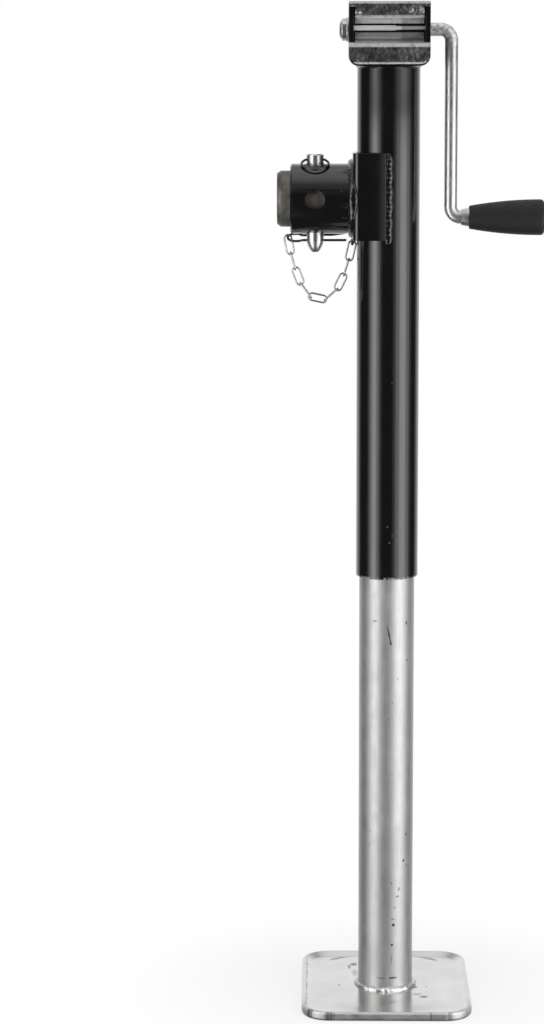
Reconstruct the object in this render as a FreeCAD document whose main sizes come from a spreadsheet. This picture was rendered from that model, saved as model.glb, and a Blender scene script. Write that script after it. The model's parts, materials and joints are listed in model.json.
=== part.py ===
import FreeCAD, Part
import math
import os
import re
import Sketcher

# Trailer prop stand with a side crank, standing extended on its foot.
# +Z is up, +X is the crank side, -X is the mount side, -Y is the front.
# The origin is the middle of the foot's underside, on the axis of the tubes.

Vector = FreeCAD.Vector
doc = FreeCAD.newDocument("PropStand")

# Driving sizes in millimetres, degrees or counts
SIZES = [
    # fits
    ("press_gap", 0.02, "radial gap left in a pressed or welded fit"),
    ("run_gap", 0.06, "radial gap of a shaft that turns in its bush"),
    ("end_gap", 0.3, "end float between pieces that turn past each other"),
    ("loose_gap", 0.3, "gap round wire that hangs or lies loose"),
    # telescoping tubes and foot
    ("outer_od", 57.15, "outer tube, outside diameter"),
    ("outer_wall", 2.8, "outer tube, wall"),
    ("outer_length", 466, "outer tube, length"),
    ("tube_gap", 0.375, "radial gap between the tubes"),
    ("inner_wall", 3, "inner tube, wall"),
    ("tube_overlap", 72, "length of inner tube left inside at full reach"),
    ("travel", 381, "stroke of the leg"),
    ("stow_gap", 12, "outer tube above the foot's floor when wound up"),
    ("rim_round", 1.2, "rounding of the outer tube's lower edge"),
    ("plate_width", 157, "foot, along X"),
    ("plate_depth", 192, "foot, along Y"),
    ("plate_floor", 5, "foot, thickness of the floor"),
    ("plate_rim", 8.5, "foot, height of the upturned rim"),
    ("plate_band", 6.5, "foot, width of the rim"),
    ("plate_corner", 26, "foot, corner radius"),
    ("plate_edge", 3, "foot, rounding of the lower edge"),
    ("rim_edge", 1.2, "foot, rounding of the rim's top"),
    ("pan_round", 2.1, "foot, rounding where the floor meets the rim"),
    ("foot_weld_leg", 4, "weld round the inner tube"),
    ("weld_hollow", 2, "round welds, radius of the hollow face over the leg"),
    # gear head
    ("head_width", 73, "gear bracket, along X"),
    ("head_depth", 57, "gear bracket, along Y"),
    ("head_height", 55.7, "gear bracket, height"),
    ("head_steel", 4.5, "gear bracket, thickness"),
    ("head_bend", 9, "gear bracket, outside bend radius"),
    ("head_weld_leg", 2, "weld between the outer tube and the bracket"),
    ("cover_steel", 1.6, "cover, thickness"),
    ("cover_bend", 3.2, "cover, outside bend radius"),
    ("cover_lip", 5, "cover, depth of the full-width lip under the top"),
    ("cover_gap", 1.2, "cover, side gap to the bracket's walls"),
    ("cover_skirt", 1.6, "cover, lower edge above the bracket's underside"),
    ("tongue_drop", 12.5, "cover, front tongue below the top"),
    ("trough_drop", 36.5, "cover, lower lip of the trough below the top"),
    ("trough_depth", 8, "cover, depth of the trough"),
    ("trough_slope", 4, "cover, height of the trough's sloping sides"),
    ("trough_bend", 2.5, "cover, bend radius at the trough"),
    ("ledge_bend", 5, "cover, bend radius of the trough's lower lip"),
    ("cover_corner", 3, "cover, rounding of the upper corners"),
    ("cover_pin_dia", 4.6, "cover pin, shank"),
    ("cover_pin_step", 3.4, "cover pin, reduced end"),
    ("cover_pin_split", 5.5, "cover pin, where the shank steps down"),
    ("cover_pin_drop", 23.8, "cover pin below the cover's top"),
    ("cover_pin_set", 0.5, "cover pin, ends inside the walls' outer faces"),
    # crank
    ("shaft_rise", 28, "crank axis above the bracket's floor"),
    ("rod_dia", 12, "crank rod"),
    ("arm_reach", 56.5, "crank arm from the tube axis"),
    ("arm_length", 168.5, "crank arm, axis to axis"),
    ("shaft_bend", 10, "crank rod, upper bend radius on its centre line"),
    ("grip_bend", 9.4, "crank rod, lower bend radius on its centre line"),
    ("bush_od", 16, "crank bushes, outside diameter"),
    ("bush_flange", 20, "crank bushes, flange diameter"),
    ("flange_steel", 1.2, "bushes, flange thickness"),
    ("washer_od", 22, "crank washer, outside diameter"),
    ("washer_steel", 1.4, "crank washer, thickness"),
    ("nut_across", 18, "crank nut, across flats"),
    ("nut_corner", 20, "crank nut, diameter over its rounded corners"),
    ("nut_height", 4, "crank nut, height of the flats"),
    ("nut_dome", 2.6, "crank nut, height of its domed end"),
    ("nut_shoulder", 17.6, "crank nut, diameter where the dome starts"),
    ("nut_crown", 11.2, "crank nut, diameter where the dome ends"),
    ("nut_curve", 5.6, "crank nut, radius of the dome"),
    ("nut_cap", 1, "crank nut, thickness of its closed end"),
    ("grip_start", 73.5, "grip, inner end from the tube axis"),
    ("grip_length", 68, "grip, length"),
    ("grip_small", 21, "grip, diameter at the inner end"),
    ("grip_large", 32.4, "grip, largest diameter"),
    ("grip_bulge", 360, "grip, radius of the swelling flank"),
    ("grip_round", 3.5, "grip, rounding of the outer end"),
    ("grip_stop_od", 17, "grip stop, flared diameter"),
    ("grip_stop_length", 7, "grip stop, length"),
    ("grip_stop_wall", 1.3, "grip stop, wall of the neck"),
    ("grip_stop_lip", 1, "grip stop, thickness of the flared lip"),
    ("push_nut_od", 18, "push nut, outside diameter"),
    ("push_nut_height", 2.6, "push nut, height"),
    ("push_nut_chamfer", 1.3, "push nut, chamfer"),
    # bevel gears
    ("gear_module", 2, "bevel gears, module at the heel"),
    ("pinion_teeth", 12, "bevel pinion, teeth"),
    ("gear_teeth", 20, "bevel gear, teeth"),
    ("tooth_face", 7, "bevel gears, face width"),
    ("tooth_slack", 0.55, "bevel gears, backlash at the heel"),
    ("tooth_tip", 1.6, "bevel gears, tooth above the pitch cone at the heel"),
    ("tooth_root", 2, "bevel gears, tooth below the pitch cone at the heel"),
    ("tooth_sink", 0.3, "bevel gears, how far a tooth is rooted in its blank"),
    ("tooth_angle", 20, "bevel gears, pressure angle in degrees"),
    ("gear_back", 2.5, "bevel gears, rim behind the heel"),
    ("gear_hub", 24, "bevel gear, hub diameter"),
    ("pinion_hub", 19, "bevel pinion, hub diameter"),
    ("lock_dia", 3.2, "roll pins in gear and pinion"),
    ("gear_pin_rise", 2.3, "gear's roll pin above its hub's end"),
    ("pinion_pin_set", 3, "pinion's roll pin from its hub's end"),
    ("screw_clear", 2.6, "lift screw's top below the crank rod"),
    # screw and thrust bearing
    ("screw_dia", 18, "lift screw, outside diameter"),
    ("screw_neck", 14, "lift screw, neck in the gear"),
    ("screw_tail", 9, "lift screw below its end washer"),
    ("screw_run_out", 2, "nut above the end washer at full reach"),
    ("end_washer_od", 32, "end washer, outside diameter"),
    ("end_washer_steel", 3, "end washer, thickness"),
    ("end_pin_dia", 3.5, "end pin"),
    ("end_pin_length", 26, "end pin, length"),
    ("nut_length", 25, "drive nut, length in the inner tube"),
    ("nut_flange", 3, "drive nut, flange on the tube's end"),
    ("screw_bush_od", 24, "screw bush, outside diameter"),
    ("screw_bush_flange", 30, "screw bush, flange diameter"),
    ("race_od", 34, "thrust races, outside diameter"),
    ("race_bore", 19, "thrust races, bore"),
    ("race_steel", 1.6, "thrust races, thickness"),
    ("ball_dia", 4, "thrust balls"),
    ("ball_count", 14, "thrust balls, number"),
    ("ball_circle", 26.5, "thrust balls, pitch circle"),
    ("ball_gap", 0.05, "thrust balls, gap to each race"),
    ("cage_gap", 0.1, "thrust balls, gap to the cage"),
    ("cage_steel", 1.6, "ball cage, thickness"),
    # mount
    ("mount_drop", 119, "mount axis below the outer tube's top"),
    ("saddle_height", 78.5, "saddle, height"),
    ("saddle_offset", 2.5, "saddle, middle above the mount axis"),
    ("saddle_steel", 4, "saddle, thickness"),
    ("saddle_bend", 6, "saddle, outside bend radius"),
    ("saddle_stop", 3, "saddle, legs end short of the tube axis"),
    ("bead_dia", 7.6, "saddle weld, bead diameter"),
    ("bead_forward", 1.9, "saddle weld, bead's middle past the leg's end"),
    ("bead_out", 0.4, "saddle weld, bead's middle outside the tube's surface"),
    ("bead_below", 4, "saddle weld, run below the saddle"),
    ("sleeve_od", 63.5, "sleeve, outside diameter"),
    ("sleeve_length", 56.4, "sleeve, length"),
    ("sleeve_bevel", 1.5, "sleeve, chamfer of its open end"),
    ("sleeve_weld_leg", 5, "sleeve weld"),
    ("swivel_gap", 0.3, "radial gap between stub and sleeve"),
    ("stub_od", 50.8, "stub, outside diameter"),
    ("stub_wall", 3.7, "stub, wall"),
    ("bevel_length", 3.5, "stub, length of the weld bevel on its end"),
    ("bevel_rise", 2.3, "stub, depth of the weld bevel on its end"),
    ("stub_proud", 12, "stub outside the sleeve"),
    ("stub_set_back", 5.4, "stub's inner end short of the saddle"),
    ("lock_hole", 18, "lock holes in sleeve and stub"),
    ("lock_station", 33.9, "lock holes from the saddle"),
    # lock pin, ring, clip and chain
    ("bolt_dia", 16, "lock pin, diameter"),
    ("bolt_above", 8.5, "lock pin above the sleeve"),
    ("bolt_below", 16.5, "lock pin below the sleeve"),
    ("bolt_nose", 10, "lock pin, length of the nose"),
    ("bolt_curve", 20, "lock pin, radius of the nose's flank"),
    ("bolt_tip", 6, "lock pin, tip diameter"),
    ("bolt_chamfer", 1, "lock pin, top chamfer"),
    ("ring_wire", 2.2, "pull ring, wire"),
    ("ring_mean", 24.6, "pull ring, mean diameter"),
    ("ring_hole", 6.4, "pull ring hole"),
    ("ring_drop", 4.4, "pull ring hole below the pin's top"),
    ("clip_wire", 2.2, "hairpin clip, wire"),
    ("clip_hole", 2.8, "clip hole"),
    ("clip_drop", 5.9, "clip hole below the sleeve"),
    ("clip_lean", 25, "hairpin clip, tilt of its plane in degrees"),
    ("clip_spread", 10.4, "hairpin clip, distance between its legs"),
    ("clip_reach", 28.5, "hairpin clip, straight leg beyond the pin's axis"),
    ("clip_back", 11, "hairpin clip, pin's axis to the start of its loop"),
    ("clip_loop", 7, "hairpin clip, loop radius"),
    ("clip_flare", 4, "hairpin clip, flare of the free leg"),
    ("clip_shoulder", 4.2, "hairpin clip, from the legs' start to the loop's corners"),
    ("clip_dip", 1.6, "hairpin clip, dip of the free leg before its crest"),
    ("clip_crest", 6.6, "hairpin clip, pin's axis to the start of the crest"),
    ("clip_straight", 15.7, "hairpin clip, pin's axis to the flare"),
    ("clip_bend", 5, "hairpin clip, bend radius beside the loop"),
    ("clip_dip_bend", 4, "hairpin clip, bend radius of the dip"),
    ("clip_crest_bend", 6.6, "hairpin clip, bend radius of the crest"),
    ("clip_flare_bend", 11, "hairpin clip, bend radius of the flare"),
    ("clip_loop_bend", 6.8, "hairpin clip, bend radius of the loop's corners"),
    ("chain_wire", 1.8, "chain, wire"),
    ("chain_pitch", 14.6, "chain, pitch"),
    ("chain_inside", 4.8, "chain, inside width of a link"),
    ("chain_links", 9, "chain, links"),
    ("chain_split", 4, "chain, links that follow the clip"),
    ("chain_slack", 0.25, "chain, gap between links"),
    ("chain_open", 1.6, "chain, gap where the two halves meet"),
    ("lug_wire", 2.8, "chain lug, wire"),
    ("lug_half", 5, "chain lug, half width"),
    ("lug_drop", 4.5, "chain lug, drop below the saddle"),
    ("lug_bend", 1.7, "chain lug, bend radius"),
    # making
    ("cut_margin", 2, "how far a cutting block reaches past the metal"),
]

sheet = doc.addObject("Spreadsheet::Sheet", "Sizes")
for row, (alias, amount, note) in enumerate(SIZES, start=1):
    sheet.set(f"A{row}", note)
    sheet.set(f"B{row}", str(amount))
    sheet.setAlias(f"B{row}", alias)
doc.recompute()
ALIASES = {alias for alias, amount, note in SIZES}

# Tolerances for finding edges, matching points and checking a sweep's volume
NEAR = 0.01
TINY = 1e-6
VOLUME_ERROR = 0.002

# Search for a hanging curve: its flattest and steepest shape, and the halvings between them
CURVE_SHAPES = (0.001, 20.0)
CURVE_HALVINGS = 80

FULL_TURN = 360.0

ALONG_X = Vector(1, 0, 0)
ALONG_Y = Vector(0, 1, 0)
ALONG_Z = Vector(0, 0, 1)

subparts = []


def runs_along(direction, axis):
    """Tell whether a direction is that of an axis."""
    return direction.cross(axis).Length < NEAR


def bound(text):
    """Write the sheet's name before each size that the text names."""
    return re.sub(r"[a-z][a-z_]*", lambda word: "Sizes." + word[0] if word[0] in ALIASES else word[0], text)


def size(text):
    """Work out a formula of named sizes."""
    return float(sheet.evalExpression(bound(text)))


# Places and sizes that follow from the driving sizes
INNER_OD = "(outer_od - 2 * outer_wall - 2 * tube_gap)"
INNER_ID = f"({INNER_OD} - 2 * inner_wall)"
TUBE_FOOT = "(plate_floor + stow_gap + travel)"
TUBE_TOP = f"({TUBE_FOOT} + outer_length)"
INNER_TOP = f"({TUBE_FOOT} + tube_overlap)"
FLOOR = f"({TUBE_TOP} + head_steel)"
HEAD_TOP = f"({TUBE_TOP} + head_height + cover_steel)"
MOUNT_Z = f"({TUBE_TOP} - mount_drop)"
SHAFT = f"({FLOOR} + shaft_rise)"
WALL_OUT = "(head_width / 2)"
WALL_IN = "(head_width / 2 - head_steel)"
COVER_FACE = "(head_depth / 2 + press_gap + cover_steel)"
BEARING = "(2 * race_steel + ball_dia + 2 * ball_gap)"
PINION_R = "(gear_module * pinion_teeth / 2)"
GEAR_R = "(gear_module * gear_teeth / 2)"
NUT_FOOT = f"({INNER_TOP} - nut_length)"
SCREW_FOOT = f"({NUT_FOOT} - screw_run_out - end_washer_steel - screw_tail)"
SADDLE_IN = "(outer_od / 2 + press_gap)"
SADDLE_OUT = f"({SADDLE_IN} + saddle_steel)"
SADDLE_FOOT = f"({MOUNT_Z} + saddle_offset - saddle_height / 2)"
LOCK_X = f"(-({SADDLE_OUT} + lock_station))"
SLEEVE_END = f"(-({SADDLE_OUT} + sleeve_length))"
STUB_BORE = "(stub_od - 2 * stub_wall)"
BOLT_TOP = f"({MOUNT_Z} + sleeve_od / 2 + bolt_above)"
BOLT_FOOT = f"({MOUNT_Z} - sleeve_od / 2 - bolt_below)"
RING_Z = f"({BOLT_TOP} - ring_drop)"
CLIP_Z = f"({MOUNT_Z} - sleeve_od / 2 - clip_drop)"
GRIP_Z = f"({SHAFT} - arm_length)"
COVER_PIN_Y = f"(-({COVER_FACE} - trough_depth + cover_pin_dia / 2 + loose_gap))"
COVER_PIN_Z = f"({HEAD_TOP} - cover_pin_drop)"
SCREW_TOP = f"({SHAFT} - rod_dia / 2 - screw_clear)"
GEAR_PIN_Z = f"({FLOOR} + {BEARING} + gear_pin_rise)"
PINION_PIN_X = f"(-({WALL_IN} - flange_steel - end_gap - pinion_pin_set))"


def keep(item, label):
    """Name a finished sub-part and put it on the list."""
    item.Label = label
    subparts.append(item)
    return item


def place(item, x="0", y="0", z="0"):
    """Tie an object's position to the sheet."""
    for axis, text in zip("xyz", (x, y, z)):
        if text != "0":
            item.setExpression("Placement.Base." + axis, bound(text))


def sketch_on(body, role, offset="0"):
    """Start a sketch on one of the body's own planes, moved along its normal."""
    plane = next(item for item in body.Origin.OriginFeatures if item.Role == role)
    sketch = body.newObject("Sketcher::SketchObject", body.Name + "_sketch")
    sketch.AttachmentSupport = (plane, [""])
    sketch.MapMode = "FlatFace"
    if offset != "0":
        sketch.setExpression("AttachmentOffset.Base.z", bound(offset))
    return sketch


def pin_down(sketch, geometry, point, x, y):
    """Hold one point of a sketch at two formulas."""
    for kind, text, axis in (("DistanceX", x, -2), ("DistanceY", y, -1)):
        if text == "0":
            sketch.addConstraint(Sketcher.Constraint("PointOnObject", geometry, point, axis))
            continue
        rule = Sketcher.Constraint(kind, -1, 1, geometry, point, size(text))
        sketch.setExpression(f"Constraints[{sketch.addConstraint(rule)}]", bound(text))


def outline(sketch, points):
    """Draw a closed outline; a point's third value is the radius of the arc that follows it."""
    first = sketch.GeometryCount
    count = len(points)
    ends = [Vector(size(point[0]), size(point[1]), 0) for point in points]
    for index, point in enumerate(points):
        start = ends[index]
        end = ends[(index + 1) % count]
        if len(point) == 2:
            sketch.addGeometry(Part.LineSegment(start, end), False)
            continue
        radius = size(point[2])
        chord = end - start
        rise = abs(radius) - math.sqrt(radius ** 2 - chord.Length ** 2 / 4)
        side = Vector(-chord.y, chord.x, 0).normalize() * math.copysign(rise, radius)
        sketch.addGeometry(Part.Arc(start, (start + end) / 2 + side, end), False)
    arcs_turn = [sketch.Geometry[first + index].TypeId == "Part::GeomArcOfCircle" for index in range(count)]
    heads = []
    tails = []
    for index in range(count):
        head, tail = 1, 2
        if arcs_turn[index]:
            start = sketch.getPoint(first + index, 1)
            if start.distanceToPoint(ends[index]) > TINY:
                head, tail = 2, 1
        heads.append(head)
        tails.append(tail)
    for index in range(count):
        after = (index + 1) % count
        joint = Sketcher.Constraint("Coincident", first + index, tails[index], first + after, heads[after])
        sketch.addConstraint(joint)
    for index, point in enumerate(points):
        pin_down(sketch, first + index, heads[index], point[0], point[1])
        if len(point) == 3:
            rule = Sketcher.Constraint("Radius", first + index, abs(size(point[2])))
            sketch.setExpression(f"Constraints[{sketch.addConstraint(rule)}]", bound(f"abs({point[2]})"))


def circle(sketch, x, y, diameter):
    """Draw a circle whose middle and diameter are formulas."""
    geometry = sketch.addGeometry(Part.Circle(Vector(size(x), size(y), 0), ALONG_Z, size(diameter) / 2))
    rule = Sketcher.Constraint("Diameter", geometry, size(diameter))
    sketch.setExpression(f"Constraints[{sketch.addConstraint(rule)}]", bound(diameter))
    pin_down(sketch, geometry, 3, x, y)


def turn(body, points, axis="V_Axis"):
    """Revolve an outline of (along the axis, radius) points."""
    sketch = sketch_on(body, "XZ_Plane")
    if axis == "V_Axis":
        points = [(point[1], point[0]) + tuple(point[2:]) for point in points]
    outline(sketch, points)
    feature = body.newObject("PartDesign::Revolution", body.Name + "_turned")
    feature.Profile = sketch
    feature.ReferenceAxis = (sketch, [axis])
    feature.Angle = FULL_TURN
    doc.recompute()
    return feature


def turned_part(label, points, axis="V_Axis", at=("0", "0", "0")):
    """Make a sub-part that is one turned piece."""
    body = keep(doc.addObject("PartDesign::Body", label), label)
    turn(body, points, axis)
    place(body, *at)
    return body


def ring_part(label, low, high, bore, outside, axis="V_Axis", at=("0", "0", "0")):
    """Make a plain ring from its two ends and two diameters."""
    points = [
        (low, f"{bore} / 2"),
        (high, f"{bore} / 2"),
        (high, f"{outside} / 2"),
        (low, f"{outside} / 2"),
    ]
    return turned_part(label, points, axis, at)


def pad(body, role, length, draw, offset="0", both_ways=False):
    """Extrude what the draw function puts in a sketch."""
    sketch = sketch_on(body, role, offset)
    draw(sketch)
    feature = body.newObject("PartDesign::Pad", body.Name + "_pad")
    feature.Profile = sketch
    feature.SideType = "Symmetric" if both_ways else "One side"
    feature.setExpression("Length", bound(length))
    doc.recompute()
    return feature


def cut_through(body, role, draw):
    """Cut what the draw function puts in a sketch right through the body, both ways."""
    before = body.Shape.Volume
    sketch = sketch_on(body, role)
    draw(sketch)
    feature = body.newObject("PartDesign::Pocket", body.Name + "_cut")
    feature.Profile = sketch
    feature.Type = "ThroughAll"
    feature.SideType = "Symmetric"
    doc.recompute()
    if body.Shape.Volume >= before:
        raise RuntimeError(body.Label + ": a cut removed nothing")
    return feature


def drill(body, role, x, y, diameter):
    """Drill a round hole right through the body."""
    return cut_through(body, role, lambda sketch: circle(sketch, x, y, diameter))


def edges_where(feature, test):
    """Name the edges whose middle point and direction pass a test."""
    names = []
    for number, edge in enumerate(feature.Shape.Edges, start=1):
        middle = edge.valueAt((edge.FirstParameter + edge.LastParameter) / 2)
        along = edge.tangentAt((edge.FirstParameter + edge.LastParameter) / 2)
        if test(edge, middle, along):
            names.append(f"Edge{number}")
    if not names:
        raise RuntimeError(feature.Label + ": no edge to round")
    return names


def soften(body, radius, test, kind="Fillet"):
    """Round or chamfer chosen edges of the body's tip."""
    base = body.Tip
    feature = body.newObject("PartDesign::" + kind, body.Name + "_" + kind.lower())
    feature.Base = (base, edges_where(base, test))
    feature.setExpression("Radius" if kind == "Fillet" else "Size", bound(radius))
    doc.recompute()
    return feature


def shaped_part(label, shape, x="0", y="0", z="0"):
    """Make a sub-part from a ready shape."""
    item = doc.addObject("Part::Feature", label)
    item.Shape = shape
    place(item, x, y, z)
    return keep(item, label)


def bent_wire(points, radii):
    """Join straight runs with tangent arcs at the inner points."""
    edges = []
    start = points[0]
    for index in range(1, len(points) - 1):
        corner = points[index]
        before = (corner - points[index - 1]).normalize()
        after = (points[index + 1] - corner).normalize()
        turn_angle = before.getAngle(after)
        setback = radii[index - 1] * math.tan(turn_angle / 2)
        arc_start = corner - before * setback
        arc_end = corner + after * setback
        bisector = (after - before).normalize()
        centre = corner + bisector * (radii[index - 1] / math.cos(turn_angle / 2))
        middle = centre - bisector * radii[index - 1]
        if start.distanceToPoint(arc_start) > TINY:
            edges.append(Part.LineSegment(start, arc_start).toShape())
        edges.append(Part.Arc(arc_start, middle, arc_end).toShape())
        start = arc_end
    if start.distanceToPoint(points[-1]) > TINY:
        edges.append(Part.LineSegment(start, points[-1]).toShape())
    return Part.Wire(edges)


def bent_rod(points, radii, diameter):
    """Sweep a round section along a bent line."""
    path = bent_wire(points, radii)
    section = Part.Wire(Part.makeCircle(diameter / 2, points[0], points[1] - points[0]))
    rod = path.makePipeShell([section], True, False)
    expected = path.Length * math.pi * diameter ** 2 / 4
    if abs(rod.Volume - expected) > expected * VOLUME_ERROR:
        raise RuntimeError("a bent rod has the wrong volume")
    return rod


def build_foot():
    """Foot plate pressed into a shallow pan."""
    body = keep(doc.addObject("PartDesign::Body", "foot_plate"), "foot_plate")

    def rectangle(inset):
        x = f"(plate_width / 2 - {inset})"
        y = f"(plate_depth / 2 - {inset})"
        return [(f"-{x}", f"-{y}"), (x, f"-{y}"), (x, y), (f"-{x}", y)]

    def uprights(inset):
        x = size(f"plate_width / 2 - {inset}")
        y = size(f"plate_depth / 2 - {inset}")

        def at_corner(edge, middle, along):
            away = math.hypot(abs(middle.x) - x, abs(middle.y) - y)
            return runs_along(along, ALONG_Z) and away < NEAR

        return at_corner

    pad(body, "XY_Plane", "plate_rim", lambda sketch: outline(sketch, rectangle("0")))
    before = body.Shape.Volume
    sketch = sketch_on(body, "XY_Plane", "plate_floor")
    outline(sketch, rectangle("plate_band"))
    pan = body.newObject("PartDesign::Pocket", "foot_pan")
    pan.Profile = sketch
    pan.Type = "ThroughAll"
    pan.Reversed = True
    doc.recompute()
    if body.Shape.Volume >= before:
        raise RuntimeError("foot_plate: the pan wasn't cut")
    soften(body, "plate_corner - plate_band", uprights("plate_band"))
    soften(body, "plate_corner", uprights("0"))
    soften(body, "plate_edge", lambda edge, middle, along: abs(middle.z) < NEAR)
    rim = size("plate_rim")
    soften(body, "rim_edge", lambda edge, middle, along: abs(middle.z - rim) < NEAR)
    floor = size("plate_floor")
    soften(body, "pan_round", lambda edge, middle, along: abs(middle.z - floor) < NEAR)


def build_leg():
    """Inner tube, its weld to the foot and the nut in its upper end."""
    ring_part("inner_tube", "plate_floor", INNER_TOP, INNER_ID, INNER_OD)
    weld_in = f"({INNER_OD} / 2 + press_gap)"
    turned_part("foot_weld", [
        ("plate_floor", weld_in),
        ("plate_floor + foot_weld_leg", weld_in, "weld_hollow * foot_weld_leg"),
        ("plate_floor", f"({weld_in} + foot_weld_leg)"),
    ])
    turned_part("drive_nut", [
        (NUT_FOOT, "screw_dia / 2 + run_gap"),
        (f"({INNER_TOP} + nut_flange)", "screw_dia / 2 + run_gap"),
        (f"({INNER_TOP} + nut_flange)", f"{INNER_OD} / 2 - tube_gap"),
        (INNER_TOP, f"{INNER_OD} / 2 - tube_gap"),
        (INNER_TOP, f"{INNER_ID} / 2 - press_gap"),
        (NUT_FOOT, f"{INNER_ID} / 2 - press_gap"),
    ])


def build_outer_tube():
    """Outer tube with a rounded lower edge, and its weld to the gear bracket."""
    body = ring_part("outer_tube", TUBE_FOOT, TUBE_TOP, "(outer_od - 2 * outer_wall)", "outer_od")
    lower = size(TUBE_FOOT)
    outside = size("outer_od / 2")

    def outer_rim(edge, middle, along):
        from_axis = math.hypot(middle.x, middle.y)
        return abs(middle.z - lower) < NEAR and abs(from_axis - outside) < NEAR

    soften(body, "rim_round", outer_rim)
    weld_in = "(outer_od / 2 + press_gap)"
    turned_part("head_weld", [
        (f"({TUBE_TOP} - head_weld_leg)", weld_in),
        (TUBE_TOP, weld_in),
        (TUBE_TOP, f"({weld_in} + head_weld_leg)", "-weld_hollow * head_weld_leg"),
    ])


def build_gear_bracket():
    """Folded U bracket with a floor and two side walls."""
    body = keep(doc.addObject("PartDesign::Body", "gear_bracket"), "gear_bracket")
    top = f"({TUBE_TOP} + head_height)"
    points = [
        (f"-{WALL_OUT}", TUBE_TOP),
        (WALL_OUT, TUBE_TOP),
        (WALL_OUT, top),
        (WALL_IN, top),
        (WALL_IN, FLOOR),
        (f"-{WALL_IN}", FLOOR),
        (f"-{WALL_IN}", top),
        (f"-{WALL_OUT}", top),
    ]
    pad(body, "XZ_Plane", "head_depth", lambda sketch: outline(sketch, points), both_ways=True)
    low = size(TUBE_TOP) + NEAR
    floor = size(FLOOR)
    inside = size(WALL_IN) - NEAR
    soften(body, "head_bend",
           lambda edge, middle, along: runs_along(along, ALONG_Y) and middle.z < low)
    soften(body, "head_bend - head_steel",
           lambda edge, middle, along: runs_along(along, ALONG_Y) and abs(middle.z - floor) < NEAR
           and abs(middle.x) > inside)
    drill(body, "XY_Plane", "0", "0", "(screw_bush_od + 2 * press_gap)")
    drill(body, "YZ_Plane", "0", SHAFT, "(bush_od + 2 * press_gap)")
    drill(body, "YZ_Plane", COVER_PIN_Y, COVER_PIN_Z, "(cover_pin_dia + 2 * press_gap)")


def build_cover():
    """Folded sheet over the gears: back, top, front tongue, trough and front plate."""
    face = size(COVER_FACE)
    top = size(HEAD_TOP)
    steel = size("cover_steel")
    bend = size("cover_bend")
    skirt = size(f"{TUBE_TOP} + cover_skirt")
    tongue = top - size("tongue_drop")
    ledge = top - size("trough_drop")
    slope = size("trough_slope")
    depth = size("trough_depth")
    half = size(WALL_OUT)
    margin = size("cut_margin")
    section = [
        Vector(0, face, skirt),
        Vector(0, face, top),
        Vector(0, -face, top),
        Vector(0, -face, tongue),
        Vector(0, depth - face, tongue - slope),
        Vector(0, depth - face, ledge + slope),
        Vector(0, -face, ledge),
        Vector(0, -face, skirt),
    ]
    trough = size("trough_bend")
    path = bent_wire(section, [bend, bend, trough, trough, trough, size("ledge_bend")])
    sheet_face = path.makeOffset2D(steel, 0, True, True, False)
    if sheet_face.BoundBox.YLength > 2 * face + steel:
        sheet_face = path.makeOffset2D(-steel, 0, True, True, False)
    if not runs_along(sheet_face.normalAt(0, 0), ALONG_X):
        raise RuntimeError("gear_cover: its section doesn't face along the crank")
    folded = sheet_face.extrude(Vector(2 * half, 0, 0))
    folded.translate(Vector(-half, 0, 0))
    rounding = size("head_bend")
    corner = size("cover_corner")
    outline_face = Part.Face(bent_wire([
        Vector(0, 0, top + steel),
        Vector(-half, 0, top + steel),
        Vector(-half, 0, skirt),
        Vector(half, 0, skirt),
        Vector(half, 0, top + steel),
        Vector(0, 0, top + steel),
    ], [corner, rounding, rounding, corner]))
    reach = face + steel + margin
    envelope = outline_face.extrude(Vector(0, 2 * reach, 0))
    envelope.translate(Vector(0, -reach, 0))
    cover = folded.common(envelope)
    inner = size(f"{WALL_IN} - cover_gap")
    lip = top - size("cover_lip")
    wall_face = size("head_depth / 2 + press_gap")
    wall_top = top - steel
    for side in (-1, 1):
        corner_x = inner if side > 0 else -inner - half
        front = Part.makeBox(half, face, lip - ledge, Vector(corner_x, -face - margin, ledge))
        slab_foot = skirt - margin
        slab = Part.makeBox(half, 2 * wall_face, wall_top - slab_foot,
                            Vector(corner_x, -wall_face, slab_foot))
        cover = cover.cut(front).cut(slab)
    shaped_part("gear_cover", cover.removeSplitter())


def build_cover_pin():
    """Stepped pin that lies in the trough, with its ends in both walls."""
    turned_part("cover_pin", [
        (f"(-{WALL_OUT} + cover_pin_set)", "0"),
        (f"({WALL_OUT} - cover_pin_set)", "0"),
        (f"({WALL_OUT} - cover_pin_set)", "cover_pin_step / 2"),
        ("cover_pin_split", "cover_pin_step / 2"),
        ("cover_pin_split", "cover_pin_dia / 2"),
        (f"(-{WALL_OUT} + cover_pin_set)", "cover_pin_dia / 2"),
    ], "H_Axis", ("0", COVER_PIN_Y, COVER_PIN_Z))


def build_shaft_bushes():
    """Two flanged bushes that carry the crank in the bracket's walls."""
    for label, side in (("shaft_bushing_left", "-1"), ("shaft_bushing_right", "1")):
        inside = f"({WALL_IN} - press_gap)"
        turned_part(label, [
            (f"{side} * ({inside} - flange_steel)", "rod_dia / 2 + run_gap"),
            (f"{side} * {WALL_OUT}", "rod_dia / 2 + run_gap"),
            (f"{side} * {WALL_OUT}", "bush_od / 2"),
            (f"{side} * {inside}", "bush_od / 2"),
            (f"{side} * {inside}", "bush_flange / 2"),
            (f"{side} * ({inside} - flange_steel)", "bush_flange / 2"),
        ], "H_Axis", ("0", "0", SHAFT))


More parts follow.
